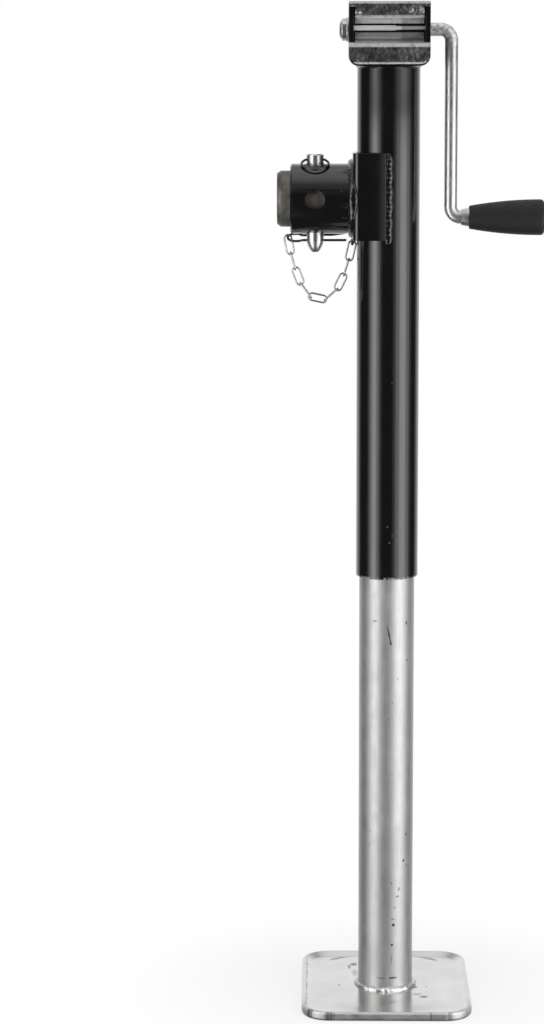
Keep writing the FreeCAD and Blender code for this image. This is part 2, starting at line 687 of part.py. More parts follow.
def build_screw_bush():
    """Flanged bush that guides the screw through the bracket's floor."""
    turned_part("screw_bushing", [
        (f"({TUBE_TOP} - press_gap - flange_steel)", "screw_dia / 2 + run_gap"),
        (FLOOR, "screw_dia / 2 + run_gap"),
        (FLOOR, "screw_bush_od / 2"),
        (f"({TUBE_TOP} - press_gap)", "screw_bush_od / 2"),
        (f"({TUBE_TOP} - press_gap)", "screw_bush_flange / 2"),
        (f"({TUBE_TOP} - press_gap - flange_steel)", "screw_bush_flange / 2"),
    ])


def build_thrust_bearing():
    """Two races, a ring of balls and their cage, on the bracket's floor."""
    ring_part("lower_race", FLOOR, f"({FLOOR} + race_steel)", "race_bore", "race_od")
    upper = f"({FLOOR} + {BEARING})"
    ring_part("upper_race", f"({upper} - race_steel)", upper, "race_bore", "race_od")
    middle = f"({FLOOR} + {BEARING} / 2)"
    cage = ring_part("ball_cage", f"({middle} - cage_steel / 2)", f"({middle} + cage_steel / 2)",
                     "(race_bore + 2 * end_gap)", "(race_od - 2 * end_gap)")
    sketch = sketch_on(cage, "XY_Plane")
    circle(sketch, "ball_circle / 2", "0", "(ball_dia + 2 * cage_gap)")
    pocket = cage.newObject("PartDesign::Pocket", "ball_pocket")
    pocket.Profile = sketch
    pocket.Type = "ThroughAll"
    pocket.SideType = "Symmetric"
    doc.recompute()
    pattern = cage.newObject("PartDesign::PolarPattern", "ball_pockets")
    pattern.Originals = [pocket]
    pattern.Axis = (sketch, ["N_Axis"])
    pattern.Angle = FULL_TURN
    pattern.Occurrences = round(size("ball_count"))
    cage.Tip = pattern
    doc.recompute()
    balls = []
    count = round(size("ball_count"))
    for index in range(count):
        ball = Part.makeSphere(size("ball_dia / 2"))
        angle = 2 * math.pi * index / count
        ball.translate(Vector(math.cos(angle), math.sin(angle), 0) * size("ball_circle / 2"))
        balls.append(ball)
    shaped_part("thrust_balls", Part.makeCompound(balls), z=middle)


def build_screw():
    """Lift screw with its end washer and end pin."""
    shoulder = f"({FLOOR} + {BEARING})"
    body = turned_part("lift_screw", [
        (SCREW_FOOT, "0"),
        (SCREW_TOP, "0"),
        (SCREW_TOP, "screw_neck / 2"),
        (shoulder, "screw_neck / 2"),
        (shoulder, "screw_dia / 2"),
        (SCREW_FOOT, "screw_dia / 2"),
    ])
    drill(body, "XZ_Plane", "0", f"({SCREW_FOOT} + screw_tail / 2)", "(end_pin_dia + 2 * press_gap)")
    drill(body, "XZ_Plane", "0", GEAR_PIN_Z, "(lock_dia + 2 * press_gap)")
    washer_foot = f"({SCREW_FOOT} + screw_tail)"
    ring_part("screw_end_washer", washer_foot, f"({washer_foot} + end_washer_steel)",
              "(screw_dia + 2 * press_gap)", "end_washer_od")
    half = "(end_pin_length / 2)"
    pin = turned_part("screw_end_pin", [
        (f"-{half}", "0"),
        (half, "0"),
        (half, "end_pin_dia / 2"),
        (f"-{half}", "end_pin_dia / 2"),
    ], at=("0", "0", f"({SCREW_FOOT} + screw_tail / 2)"))
    pin.Placement.Rotation = FreeCAD.Rotation(ALONG_X, 90)


def bevel_gear(teeth, radius, mate_radius, hub_radius, bore_radius, hub_end, phase):
    """Make a straight bevel gear whose cone's point is the origin, opening towards -Z."""
    module = size("gear_module")
    cone = math.hypot(radius, mate_radius)
    shrink = (cone - size("tooth_face")) / cone
    tip = size("tooth_tip")
    root_depth = size("tooth_root")
    normal = Vector(mate_radius, 0, radius) / cone
    heel = Vector(radius, 0, -mate_radius)
    root = heel - normal * root_depth
    back = root.z - size("gear_back")
    toe_z = root.z * shrink
    blank_points = [
        Vector(bore_radius, 0, toe_z),
        Vector(root.x * shrink, 0, toe_z),
        root,
        Vector(root.x, 0, back),
        Vector(hub_radius, 0, back),
        Vector(hub_radius, 0, -hub_end),
        Vector(bore_radius, 0, -hub_end),
    ]
    blank = Part.Face(Part.makePolygon(blank_points + blank_points[:1])).revolve(Vector(), ALONG_Z, FULL_TURN)
    half_pitch = math.pi * module / 4 - size("tooth_slack") / 2
    slope = math.tan(math.radians(size("tooth_angle")))
    rise_and_half = [
        (-root_depth - size("tooth_sink"), half_pitch + root_depth * slope),
        (tip, half_pitch - tip * slope),
    ]
    corners = []
    for rise, half in rise_and_half:
        corners.append(heel + normal * rise + Vector(0, half, 0))
        corners.insert(0, heel + normal * rise - Vector(0, half, 0))
    sections = []
    for scale in (1.0, shrink):
        ring = [corner * scale for corner in corners]
        sections.append(Part.makePolygon(ring + ring[:1]))
    tooth = Part.makeLoft(sections, True, True)
    copies = []
    for index in range(teeth):
        copy = tooth.copy()
        copy.rotate(Vector(), ALONG_Z, FULL_TURN * (index + phase) / teeth)
        copies.append(copy)
    return blank.fuse(copies).removeSplitter()


def pin_hole(x, z):
    """Make the tool that drills a roll pin's hole along Y."""
    reach = size("gear_hub")
    return Part.makeCylinder(size("lock_dia / 2 + press_gap"), 2 * reach, Vector(x, -reach, z), ALONG_Y)


def build_gears():
    """Bevel gear on the screw, bevel pinion on the crank, and the pins that lock them."""
    pinion_teeth = round(size("pinion_teeth"))
    gear_teeth = round(size("gear_teeth"))
    gear = bevel_gear(gear_teeth, size(GEAR_R), size(PINION_R), size("gear_hub / 2"),
                      size("screw_neck / 2 + press_gap"), size(f"shaft_rise - {BEARING}"), 0.5)
    shaped_part("screw_gear", gear.cut(pin_hole(0, size(f"{GEAR_PIN_Z} - {SHAFT}"))), z=SHAFT)
    pin_length = "(gear_hub / 2 - press_gap)"
    pin = turned_part("gear_pin", [
        (f"-{pin_length}", "0"),
        (pin_length, "0"),
        (pin_length, "lock_dia / 2"),
        (f"-{pin_length}", "lock_dia / 2"),
    ], at=("0", "0", GEAR_PIN_Z))
    pin.Placement.Rotation = FreeCAD.Rotation(ALONG_X, 90)
    hub_end = size(f"{WALL_IN} - press_gap - flange_steel - end_gap")
    pinion = bevel_gear(pinion_teeth, size(PINION_R), size(GEAR_R), size("pinion_hub / 2"),
                        size("rod_dia / 2 + press_gap"), hub_end, 0)
    pinion.rotate(Vector(), ALONG_Y, 90)
    shaped_part("drive_pinion", pinion.cut(pin_hole(size(PINION_PIN_X), 0)), z=SHAFT)
    half = "(pinion_hub / 2 - press_gap)"
    pin = turned_part("pinion_pin", [
        (f"-{half}", "0"),
        (half, "0"),
        (half, "lock_dia / 2"),
        (f"-{half}", "lock_dia / 2"),
    ], at=(PINION_PIN_X, "0", SHAFT))
    pin.Placement.Rotation = FreeCAD.Rotation(ALONG_X, 90)


def build_crank():
    """Bent crank rod with its washer, nut, grip stop and push nut."""
    left = size(f"-({WALL_OUT} + washer_steel + nut_height + nut_dome / 2)")
    reach = size("arm_reach")
    drop = size("arm_length")
    end = size("grip_start + grip_length + push_nut_height + 2 * end_gap")
    corners = [Vector(left, 0, 0), Vector(reach, 0, 0), Vector(reach, 0, -drop), Vector(end, 0, -drop)]
    rod = bent_rod(corners, [size("shaft_bend"), size("grip_bend")], size("rod_dia"))
    shaped_part("crank_rod", rod.cut(pin_hole(size(PINION_PIN_X), 0)), z=SHAFT)
    washer_in = f"(-({WALL_OUT} + end_gap))"
    washer_out = f"({washer_in} - washer_steel)"
    ring_part("crank_washer", washer_out, washer_in, "(rod_dia + 2 * press_gap)", "washer_od",
              "H_Axis", ("0", "0", SHAFT))
    nut = turned_part("crank_nut", [
        (washer_out, "rod_dia / 2 + press_gap"),
        (washer_out, "nut_corner / 2"),
        (f"({washer_out} - nut_height)", "nut_corner / 2"),
        (f"({washer_out} - nut_height)", "nut_shoulder / 2", "-nut_curve"),
        (f"({washer_out} - nut_height - nut_dome)", "nut_crown / 2"),
        (f"({washer_out} - nut_height - nut_dome)", "0"),
        (f"({washer_out} - nut_height - nut_dome + nut_cap)", "0"),
        (f"({washer_out} - nut_height - nut_dome + nut_cap)", "rod_dia / 2 + press_gap"),
    ], "H_Axis", ("0", "0", SHAFT))

    def flats(sketch):
        circle(sketch, "0", "0", "2 * nut_corner")
        point = "(nut_across / sqrt(3))"
        side = "(nut_across / 2)"
        outline(sketch, [
            ("0", point),
            (side, f"{point} / 2"),
            (side, f"-{point} / 2"),
            ("0", f"-{point}"),
            (f"-{side}", f"-{point} / 2"),
            (f"-{side}", f"{point} / 2"),
        ])

    cut_through(nut, "YZ_Plane", flats)
    stop_out = "(grip_start - end_gap)"
    stop_in = f"({stop_out} - grip_stop_length)"
    turned_part("grip_stop", [
        (stop_in, "rod_dia / 2 + press_gap"),
        (stop_out, "rod_dia / 2 + press_gap"),
        (stop_out, "grip_stop_od / 2"),
        (f"({stop_out} - grip_stop_lip)", "grip_stop_od / 2"),
        (stop_in, "rod_dia / 2 + grip_stop_wall"),
    ], "H_Axis", ("0", "0", GRIP_Z))
    cap_in = "(grip_start + grip_length + end_gap)"
    turned_part("grip_push_nut", [
        (cap_in, "rod_dia / 2 + press_gap"),
        (cap_in, "push_nut_od / 2"),
        (f"({cap_in} + push_nut_height - push_nut_chamfer)", "push_nut_od / 2"),
        (f"({cap_in} + push_nut_height)", "push_nut_od / 2 - push_nut_chamfer"),
        (f"({cap_in} + push_nut_height)", "rod_dia / 2 + press_gap"),
    ], "H_Axis", ("0", "0", GRIP_Z))


def build_grip():
    """Swelling grip that spins on the crank rod."""
    grip_end = "(grip_start + grip_length)"
    body = turned_part("grip", [
        ("grip_start", "rod_dia / 2 + loose_gap"),
        (grip_end, "rod_dia / 2 + loose_gap"),
        (grip_end, "grip_large / 2", "-grip_bulge"),
        ("grip_start", "grip_small / 2"),
    ], "H_Axis", ("0", "0", GRIP_Z))
    end = size(grip_end)
    outside = size("grip_large / 2")

    def outer_end(edge, middle, along):
        from_axis = math.hypot(middle.y, middle.z)
        return abs(middle.x - end) < NEAR and abs(from_axis - outside) < NEAR

    soften(body, "grip_round", outer_end)


def build_saddle():
    """Bent saddle round the outer tube and the beads along its legs."""
    body = keep(doc.addObject("PartDesign::Body", "mount_bracket"), "mount_bracket")
    points = [
        ("-saddle_stop", f"-{SADDLE_OUT}"),
        ("-saddle_stop", f"-{SADDLE_IN}"),
        (f"-{SADDLE_IN}", f"-{SADDLE_IN}"),
        (f"-{SADDLE_IN}", SADDLE_IN),
        ("-saddle_stop", SADDLE_IN),
        ("-saddle_stop", SADDLE_OUT),
        (f"-{SADDLE_OUT}", SADDLE_OUT),
        (f"-{SADDLE_OUT}", f"-{SADDLE_OUT}"),
    ]
    pad(body, "XY_Plane", "saddle_height", lambda sketch: outline(sketch, points), offset=SADDLE_FOOT)
    outside = size(SADDLE_OUT) - NEAR
    inside = size(SADDLE_IN)
    soften(body, "saddle_bend",
           lambda edge, middle, along: runs_along(along, ALONG_Z) and middle.x < -outside)
    soften(body, "saddle_bend - saddle_steel",
           lambda edge, middle, along: runs_along(along, ALONG_Z) and abs(middle.x + inside) < NEAR)
    beads = []
    radius = size("bead_dia / 2")
    foot = size(SADDLE_FOOT) - size("bead_below") + radius
    top = size(SADDLE_FOOT) + size("saddle_height") - radius
    tube = Part.makeCylinder(inside, 2 * top, Vector(0, 0, 0))
    for side in (-1, 1):
        bead_x = size("bead_forward - saddle_stop")
        bead_y = side * size("outer_od / 2 + bead_out")
        bead = Part.makeCylinder(radius, top - foot, Vector(bead_x, bead_y, foot))
        for height in (foot, top):
            end_ball = Part.makeSphere(radius)
            end_ball.translate(Vector(bead_x, bead_y, height))
            bead = bead.fuse(end_ball)
        beads.append(bead.cut(tube).cut(body.Shape))
    shaped_part("bracket_welds", Part.makeCompound(beads))


def build_swivel():
    """Sleeve welded to the saddle, its weld, and the stub that the trailer carries."""
    sleeve_bore = "(stub_od + 2 * swivel_gap)"
    near = f"(-{SADDLE_OUT} - press_gap)"
    sleeve = turned_part("mount_sleeve", [
        (SLEEVE_END, f"{sleeve_bore} / 2"),
        (near, f"{sleeve_bore} / 2"),
        (near, "sleeve_od / 2"),
        (f"({SLEEVE_END} + sleeve_bevel)", "sleeve_od / 2"),
        (SLEEVE_END, "sleeve_od / 2 - sleeve_bevel"),
    ], "H_Axis", ("0", "0", MOUNT_Z))
    drill(sleeve, "XY_Plane", LOCK_X, "0", "lock_hole")
    drill(sleeve, "XZ_Plane", LOCK_X, "0", "lock_hole")
    weld_in = "(sleeve_od / 2 + press_gap)"
    weld = turned_part("sleeve_weld", [
        (near, weld_in),
        (f"({near} - sleeve_weld_leg)", weld_in, "weld_hollow * sleeve_weld_leg"),
        (near, f"({weld_in} + sleeve_weld_leg)"),
    ], "H_Axis", ("0", "0", MOUNT_Z))

    def sides(sketch):
        flat = f"({SADDLE_OUT} - saddle_bend)"
        for sign in ("-", ""):
            outline(sketch, [
                (f"{sign}{flat}", "-sleeve_od"),
                (f"{sign}{flat}", "sleeve_od"),
                (f"{sign}sleeve_od", "sleeve_od"),
                (f"{sign}sleeve_od", "-sleeve_od"),
            ])

    cut_through(weld, "YZ_Plane", sides)
    stub_end = f"({SLEEVE_END} - stub_proud)"
    stub_inner = f"(-{SADDLE_OUT} - stub_set_back)"
    stub = turned_part("mount_stub", [
        (stub_end, f"{STUB_BORE} / 2"),
        (stub_inner, f"{STUB_BORE} / 2"),
        (stub_inner, "stub_od / 2"),
        (f"({stub_end} + bevel_length)", "stub_od / 2"),
        (stub_end, "stub_od / 2 - bevel_rise"),
    ], "H_Axis", ("0", "0", MOUNT_Z))
    drill(stub, "XY_Plane", LOCK_X, "0", "lock_hole")


def build_lock_pin():
    """Lock pin with a rounded nose, a hole for the ring and one for the clip."""
    nose = f"({BOLT_FOOT} + bolt_nose)"
    body = turned_part("lock_pin", [
        (BOLT_TOP, "0"),
        (BOLT_FOOT, "0"),
        (BOLT_FOOT, "bolt_tip / 2", "-bolt_curve"),
        (nose, "bolt_dia / 2"),
        (f"({BOLT_TOP} - bolt_chamfer)", "bolt_dia / 2"),
        (BOLT_TOP, "bolt_dia / 2 - bolt_chamfer"),
    ], at=(LOCK_X, "0", "0"))
    drill(body, "YZ_Plane", "0", RING_Z, "ring_hole")
    drill(body, "YZ_Plane", "0", CLIP_Z, "clip_hole")


def ring_lean():
    """Angle below level, in radians, at which the pull ring in its hole lies on the sleeve."""
    hang = size(f"{RING_Z} - {MOUNT_Z}")
    touch = size("sleeve_od / 2 + ring_wire / 2 + loose_gap")
    return math.acos(touch / hang)


def build_pull_ring():
    """Wire ring through the pin's upper hole, leaning forward on the sleeve."""
    chord = size("bolt_dia / 2")
    mean = size("ring_mean / 2")
    sag = mean - math.sqrt(mean ** 2 - chord ** 2)
    forward = Vector(0, -math.cos(ring_lean()), -math.sin(ring_lean()))
    facing = ALONG_X.cross(forward)
    ring = Part.makeTorus(mean, size("ring_wire / 2"), forward * (mean - sag / 2), facing)
    shaped_part("pull_ring", ring, LOCK_X, "0", RING_Z)


def build_clip():
    """Hairpin clip: a straight leg through the pin and a sprung leg behind it."""
    reach = size("clip_reach")
    back = size("clip_back")
    spread = size("clip_spread")
    loop = size("clip_loop")
    shoulder = back + size("clip_shoulder")
    loop_end = back + 2 * loop
    middle = spread / 2
    points = [
        Vector(reach, 0, 0),
        Vector(-back, 0, 0),
        Vector(-shoulder, middle - loop, 0),
        Vector(-loop_end, middle - loop, 0),
        Vector(-loop_end, middle + loop, 0),
        Vector(-shoulder, middle + loop, 0),
        Vector(-back, spread - size("clip_dip"), 0),
        Vector(-size("clip_crest"), spread, 0),
        Vector(size("clip_straight"), spread, 0),
        Vector(reach, spread + size("clip_flare"), 0),
    ]
    bend = size("clip_bend")
    corner = size("clip_loop_bend")
    dip = size("clip_dip_bend")
    crest = size("clip_crest_bend")
    flare = size("clip_flare_bend")
    clip = bent_rod(points, [bend, bend, corner, corner, bend, dip, crest, flare], size("clip_wire"))
    clip.rotate(Vector(), ALONG_X, size("clip_lean"))
    shaped_part("hairpin_clip", clip, LOCK_X, "0", CLIP_Z)


def chain_ends():
    """Give the two points that the chain hangs from: the clip's loop and the lug."""
    loop_x = size(f"{LOCK_X} - clip_back - 2 * clip_loop")
    lean = math.radians(size("clip_lean"))
    middle = size("clip_spread") / 2
    clip_end = Vector(loop_x, middle * math.cos(lean), size(CLIP_Z) + middle * math.sin(lean))
    lug_x = -size(SADDLE_OUT)
    lug_end = Vector(lug_x, clip_end.y, size(f"{SADDLE_FOOT} - lug_drop"))
    return clip_end, lug_end


def hanging_points(start, end, length, count):
    """Share out joints of a chain along the curve in which it hangs."""
    span = end.x - start.x
    rise = end.z - start.z
    low, high = CURVE_SHAPES
    stretch = math.sqrt(length ** 2 - rise ** 2) / span
    for step in range(CURVE_HALVINGS):
        middle = (low + high) / 2
        if math.sinh(middle) / middle < stretch:
            low = middle
        else:
            high = middle
    curve = span / (2 * low)
    lean = math.atanh(rise / length)
    low_x = span / 2 - curve * lean
    start_run = curve * math.sinh(-low_x / curve)
    points = []
    for index in range(count + 1):
        run = start_run + length * index / count
        x = low_x + curve * math.asinh(run / curve)
        z = curve * (math.cosh((x - low_x) / curve) - math.cosh(low_x / curve))
        points.append(Vector(start.x + x, start.y, start.z + z))
    return points


def chain_link(start, end, flat):
    """Make one link whose inside reaches from one point to another."""
    wire = size("chain_wire / 2")
    bend = size("chain_inside / 2") + wire
    straight = (end - start).Length / 2 - size("chain_inside / 2")
    pieces = []
    for side in (-1, 1):
        end_ring = Part.makeTorus(bend, wire, Vector(), ALONG_Z, -180, 180, 180)
        end_ring.rotate(Vector(), ALONG_Z, -90 if side > 0 else 90)
        end_ring.translate(Vector(side * straight, 0, 0))
        pieces.append(end_ring)
        pieces.append(Part.makeCylinder(wire, 2 * straight, Vector(-straight, side * bend, 0), ALONG_X))
    link = pieces[0].fuse(pieces[1:]).removeSplitter()
    if flat:
        link.rotate(Vector(), ALONG_X, 90)
    run = end - start
    link.rotate(Vector(), ALONG_Y, -math.degrees(math.atan2(run.z, run.x)))
    link.translate((start + end) / 2)
    return link


def build_chain():
    """Keeper chain in two halves, and the lug that it hangs from."""
    start, end = chain_ends()
    count = round(size("chain_links"))
    split = round(size("chain_split"))
    pitch = size("chain_pitch")
    points = hanging_points(start, end, pitch * count, count)
    slack = [size("chain_slack / 2")] * (count + 1)
    slack[0] = size("clip_wire / 2 + loose_gap")
    slack[split] = size("chain_open / 2")
    slack[count] = size("lug_wire / 2 + loose_gap")
    halves = {"chain_clip_half": [], "chain_lug_half": []}
    for index in range(count):
        along = (points[index + 1] - points[index]).normalize()
        near = points[index] - along * slack[index]
        far = points[index + 1] + along * slack[index + 1]
        half = "chain_clip_half" if index < split else "chain_lug_half"
        halves[half].append(chain_link(near, far, index % 2 == 0))
    for label, links in halves.items():
        shaped_part(label, Part.makeCompound(links))
    half = size("lug_half")
    top = size(SADDLE_FOOT)
    low = end.z
    lug = bent_rod([
        Vector(end.x, end.y - half, top),
        Vector(end.x, end.y - half, low),
        Vector(end.x, end.y + half, low),
        Vector(end.x, end.y + half, top),
    ], [size("lug_bend"), size("lug_bend")], size("lug_wire"))
    shaped_part("chain_lug", lug)


build_foot()
build_leg()
build_outer_tube()
build_gear_bracket()
build_cover()
build_cover_pin()
build_shaft_bushes()
build_screw_bush()
build_thrust_bearing()
build_screw()
build_gears()
build_crank()
build_grip()
build_saddle()
build_swivel()
build_lock_pin()
build_pull_ring()
build_clip()
build_chain()

doc.recompute()
faults = [item.Label for item in doc.Objects if "Invalid" in item.State or "Error" in item.State]
faults += [item.Label for item in subparts if item.Shape.isNull() or not item.Shape.isValid()]
if faults:
    raise RuntimeError("failed objects: " + ", ".join(faults))

os.makedirs("parts", exist_ok=True)
for item in subparts:
    item.Shape.exportStep(f"parts/{item.Label}.step")
print(len(subparts), "sub-parts")
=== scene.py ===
import json
import math
import random

import bmesh
import bpy
from mathutils import Euler, Matrix, Vector, noise

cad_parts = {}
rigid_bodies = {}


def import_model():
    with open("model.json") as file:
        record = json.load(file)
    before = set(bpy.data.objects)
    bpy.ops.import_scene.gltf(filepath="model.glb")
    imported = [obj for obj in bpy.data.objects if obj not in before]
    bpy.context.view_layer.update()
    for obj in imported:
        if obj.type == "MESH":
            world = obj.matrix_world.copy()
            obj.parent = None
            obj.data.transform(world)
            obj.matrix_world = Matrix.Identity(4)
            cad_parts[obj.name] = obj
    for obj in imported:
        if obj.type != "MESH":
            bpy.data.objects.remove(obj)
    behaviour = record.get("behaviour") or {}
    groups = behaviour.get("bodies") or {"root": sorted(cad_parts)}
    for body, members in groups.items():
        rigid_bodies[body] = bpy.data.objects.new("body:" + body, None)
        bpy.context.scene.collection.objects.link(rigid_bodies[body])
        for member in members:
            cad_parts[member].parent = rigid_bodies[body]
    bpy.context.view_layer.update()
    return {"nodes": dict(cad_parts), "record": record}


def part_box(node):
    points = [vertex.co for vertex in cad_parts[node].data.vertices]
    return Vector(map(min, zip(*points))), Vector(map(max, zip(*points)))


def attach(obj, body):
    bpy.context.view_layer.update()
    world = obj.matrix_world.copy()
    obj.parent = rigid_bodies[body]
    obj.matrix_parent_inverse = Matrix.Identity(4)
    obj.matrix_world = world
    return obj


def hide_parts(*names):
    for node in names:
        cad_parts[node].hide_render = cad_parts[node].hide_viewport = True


# Trailer prop stand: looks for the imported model.
# Metres, +Z is up, -Y is the front, -X is the mount's side. Turns are in radians unless a name
# says otherwise.
for item in list(bpy.data.objects):
    bpy.data.objects.remove(item)

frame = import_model()
nodes = frame["nodes"]
scene = bpy.context.scene

# Places read from the frame
FOOT_LOW, FOOT_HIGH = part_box("foot_plate")
TUBE_LOW, TUBE_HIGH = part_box("outer_tube")
INNER_LOW, INNER_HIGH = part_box("inner_tube")
SLEEVE_LOW, SLEEVE_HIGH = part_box("mount_sleeve")
COVER_LOW, COVER_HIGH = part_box("gear_cover")
PIN_LOW, PIN_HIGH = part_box("cover_pin")
SADDLE_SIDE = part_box("mount_bracket")[1].y
CRANK_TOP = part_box("crank_rod")[1].z
TUBE_R = TUBE_HIGH.x
INNER_R = INNER_HIGH.x
SLEEVE_R = SLEEVE_HIGH.y
MOUNT_Z = (SLEEVE_LOW.z + SLEEVE_HIGH.z) / 2
PIN_Z = (PIN_LOW.z + PIN_HIGH.z) / 2

# Foot: radius of its corners, and the crease inside its left rim
FOOT_CORNER = 0.026
CREASE_X = FOOT_LOW.x + 0.0044

# Gear cover: upper and lower bend of the trough in its front, the x range over which painted shade
# darkens the trough and its pin, and the pale bands on bends and edges, worn zinc with painted
# highlight (middle and half height)
TROUGH_HIGH = COVER_HIGH.z - 0.0141
TROUGH_LOW = COVER_HIGH.z - 0.0381
SHADED_X = (0.0095, 0.0115)
WORN_AND_LIT_BANDS = [
    (TROUGH_HIGH, 0.0017),
    (TROUGH_LOW - 0.0008, 0.0023),
    (COVER_HIGH.z - 0.001, 0.0018),
    (COVER_LOW.z + 0.0004, 0.0016),
]


# Marks

# Splashes and scuffs on the foot, and painted dark reflections on its front face: x, y, z, half
# length, half width, turn, strength
SPLASHES_AND_REFLECTIONS = [
    (-0.0292, 0.0560, 0.006, 0.0042, 0.0055, 0.0, 0.85),
    (-0.0334, 0.0480, 0.006, 0.0016, 0.0080, 0.0, 0.75),
    (-0.0282, 0.0300, 0.006, 0.0036, 0.0120, 0.0, 0.40),
    (-0.0436, -0.0083, 0.006, 0.0011, 0.0030, 0.0, 0.60),
    (0.0285, -0.0150, 0.006, 0.0018, 0.0036, 0.0, 0.75),
    (0.0386, -0.0130, 0.006, 0.0014, 0.0028, 0.0, 0.50),
    (0.0290, -0.0360, 0.006, 0.0055, 0.0050, -0.5, 0.40),
    (0.0352, -0.0430, 0.006, 0.0045, 0.0048, -0.8, 0.80),
    # These five, on the front face near its left corner, are painted dark reflections of the uneven
    # metal there
    (-0.0715, -0.0870, 0.007, 0.0018, 0.0030, 0.3, 0.75),
    (-0.0690, -0.0890, 0.004, 0.0014, 0.0030, -0.4, 0.60),
    (-0.0545, -0.0960, 0.006, 0.0024, 0.0030, 0.3, 0.60),
    (-0.0515, -0.0960, 0.003, 0.0013, 0.0030, -0.3, 0.65),
    (-0.0488, -0.0960, 0.006, 0.0009, 0.0030, 0.0, 0.40),
    (0.0400, -0.0960, 0.005, 0.0012, 0.0030, 0.2, 0.45),
    (0.0570, -0.0955, 0.006, 0.0014, 0.0030, -0.2, 0.50),
    (0.0595, -0.0955, 0.003, 0.0010, 0.0030, 0.3, 0.40),
    (-0.0250, 0.0842, 0.005, 0.0280, 0.0024, 0.0, 0.16),
    (0.0270, 0.0842, 0.005, 0.0260, 0.0024, 0.0, 0.16),
]

# Marks on the inner tube's front: x, z, half width, half height, lean, strength
SCRATCHES = [
    (0.0017, 0.3465, 0.0008, 0.0100, -0.21, 0.90),
    (0.0034, 0.3385, 0.0012, 0.0030, -0.21, 0.90),
    (0.0177, 0.3563, 0.0009, 0.0022, 0.0, 0.75),
    (0.0186, 0.3212, 0.0007, 0.0018, 0.0, 0.60),
    (0.0100, 0.3043, 0.0007, 0.0018, 0.0, 0.50),
    (0.0052, 0.2826, 0.0006, 0.0014, 0.0, 0.50),
    (0.0017, 0.2666, 0.0006, 0.0014, 0.0, 0.50),
    (-0.0111, 0.3588, 0.0035, 0.0008, 0.0, 0.60),
    (0.0184, 0.1556, 0.0009, 0.0014, 0.0, 0.70),
    (0.0161, 0.1310, 0.0012, 0.0015, 0.0, 0.85),
    (0.0190, 0.1258, 0.0007, 0.0012, 0.0, 0.60),
    (0.0051, 0.1102, 0.0007, 0.0014, 0.0, 0.65),
    (0.0120, 0.1043, 0.0010, 0.0020, 0.4, 0.70),
    (0.0106, 0.0972, 0.0016, 0.0010, 0.0, 0.75),
    (0.0082, 0.0867, 0.0009, 0.0014, 0.0, 0.60),
    (0.0063, 0.0756, 0.0024, 0.0007, 0.0, 0.55),
    (0.0070, 0.0701, 0.0019, 0.0016, 0.0, 0.95),
    (0.0058, 0.0510, 0.0016, 0.0014, 0.0, 0.95),
    (0.0054, 0.0367, 0.0009, 0.0050, 0.0, 0.40),
    (-0.0150, 0.1593, 0.0007, 0.0012, 0.0, 0.50),
    (-0.0154, 0.1470, 0.0007, 0.0012, 0.0, 0.50),
    (0.0062, 0.0188, 0.0048, 0.0011, 0.0, 0.90),
    (-0.0040, 0.0186, 0.0060, 0.0009, 0.0, 0.50),
]

# Pale scuffs on the outer tube's front, in the same order
SCUFFS = [
    (-0.0003, 0.4474, 0.0006, 0.0014, 0.3, 0.70),
    (0.0017, 0.4325, 0.0007, 0.0012, 0.0, 0.80),
    (0.0042, 0.4390, 0.0005, 0.0010, -0.3, 0.60),
    (0.0113, 0.4529, 0.0006, 0.0011, 0.0, 0.60),
    (-0.0129, 0.4617, 0.0005, 0.0009, 0.0, 0.50),
    (-0.0129, 0.4385, 0.0005, 0.0009, 0.0, 0.50),
    (0.0034, 0.5796, 0.0005, 0.0009, 0.0, 0.60),
]


# Node trees

def node(tree, kind, inputs=None, **settings):
    """Add a node, set it up and feed its inputs with values or with other nodes' outputs."""
    made = tree.nodes.new(kind)
    for name, value in settings.items():
        setattr(made, name, value)
    for key, value in (inputs or {}).items():
        if isinstance(value, bpy.types.NodeSocket):
            tree.links.new(value, made.inputs[key])
        else:
            made.inputs[key].default_value = value
    return made


def place_in(tree, stretch=(1, 1, 1), shift=(0, 0, 0)):
    """Object coordinates in metres, scaled along each axis and then shifted."""
    where = node(tree, "ShaderNodeTexCoord").outputs["Object"]
    inputs = {"Vector": where, "Scale": stretch, "Location": shift}
    return node(tree, "ShaderNodeMapping", inputs).outputs[0]


def axes(tree, vector):
    """A vector's x, y and z."""
    return node(tree, "ShaderNodeSeparateXYZ", {"Vector": vector}).outputs


def cloud(tree, vector, scale, detail=3, rough=0.55, bend=0):
    """Fractal noise from 0 to 1."""
    inputs = {"Vector": vector, "Scale": scale, "Detail": detail, "Roughness": rough,
              "Distortion": bend}
    return node(tree, "ShaderNodeTexNoise", inputs).outputs[0]


def cells(tree, vector, scale, output="Distance"):
    """Cells: the distance from each one's middle, or its own colour."""
    return node(tree, "ShaderNodeTexVoronoi", {"Vector": vector, "Scale": scale}).outputs[output]


def ramp(tree, value, low, high, start=0.0, end=1.0):
    """Map the range low to high onto start to end, clamped."""
    inputs = {"Value": value, "From Min": low, "From Max": high, "To Min": start, "To Max": end}
    return node(tree, "ShaderNodeMapRange", inputs).outputs[0]


def uneven(tree, vector, scale, low, high, detail=3, rough=0.6):
    """A value that wanders between low and high."""
    return ramp(tree, cloud(tree, vector, scale, detail, rough), 0.3, 0.7, low, high)


def sums(tree, operation, first, second=0.5):
    """One arithmetic step."""
    return node(tree, "ShaderNodeMath", {0: first, 1: second}, operation=operation).outputs[0]


def times(tree, first, *others):
    """The values multiplied together."""
    for other in others:
        first = sums(tree, "MULTIPLY", first, other)
    return first


def highest(tree, first, *others):
    """The highest of the values."""
    for other in others:
        first = sums(tree, "MAXIMUM", first, other)
    return first


def off(tree, value, middle):
    """How far the value is from the middle, on either side."""
    return sums(tree, "ABSOLUTE", sums(tree, "SUBTRACT", value, middle))


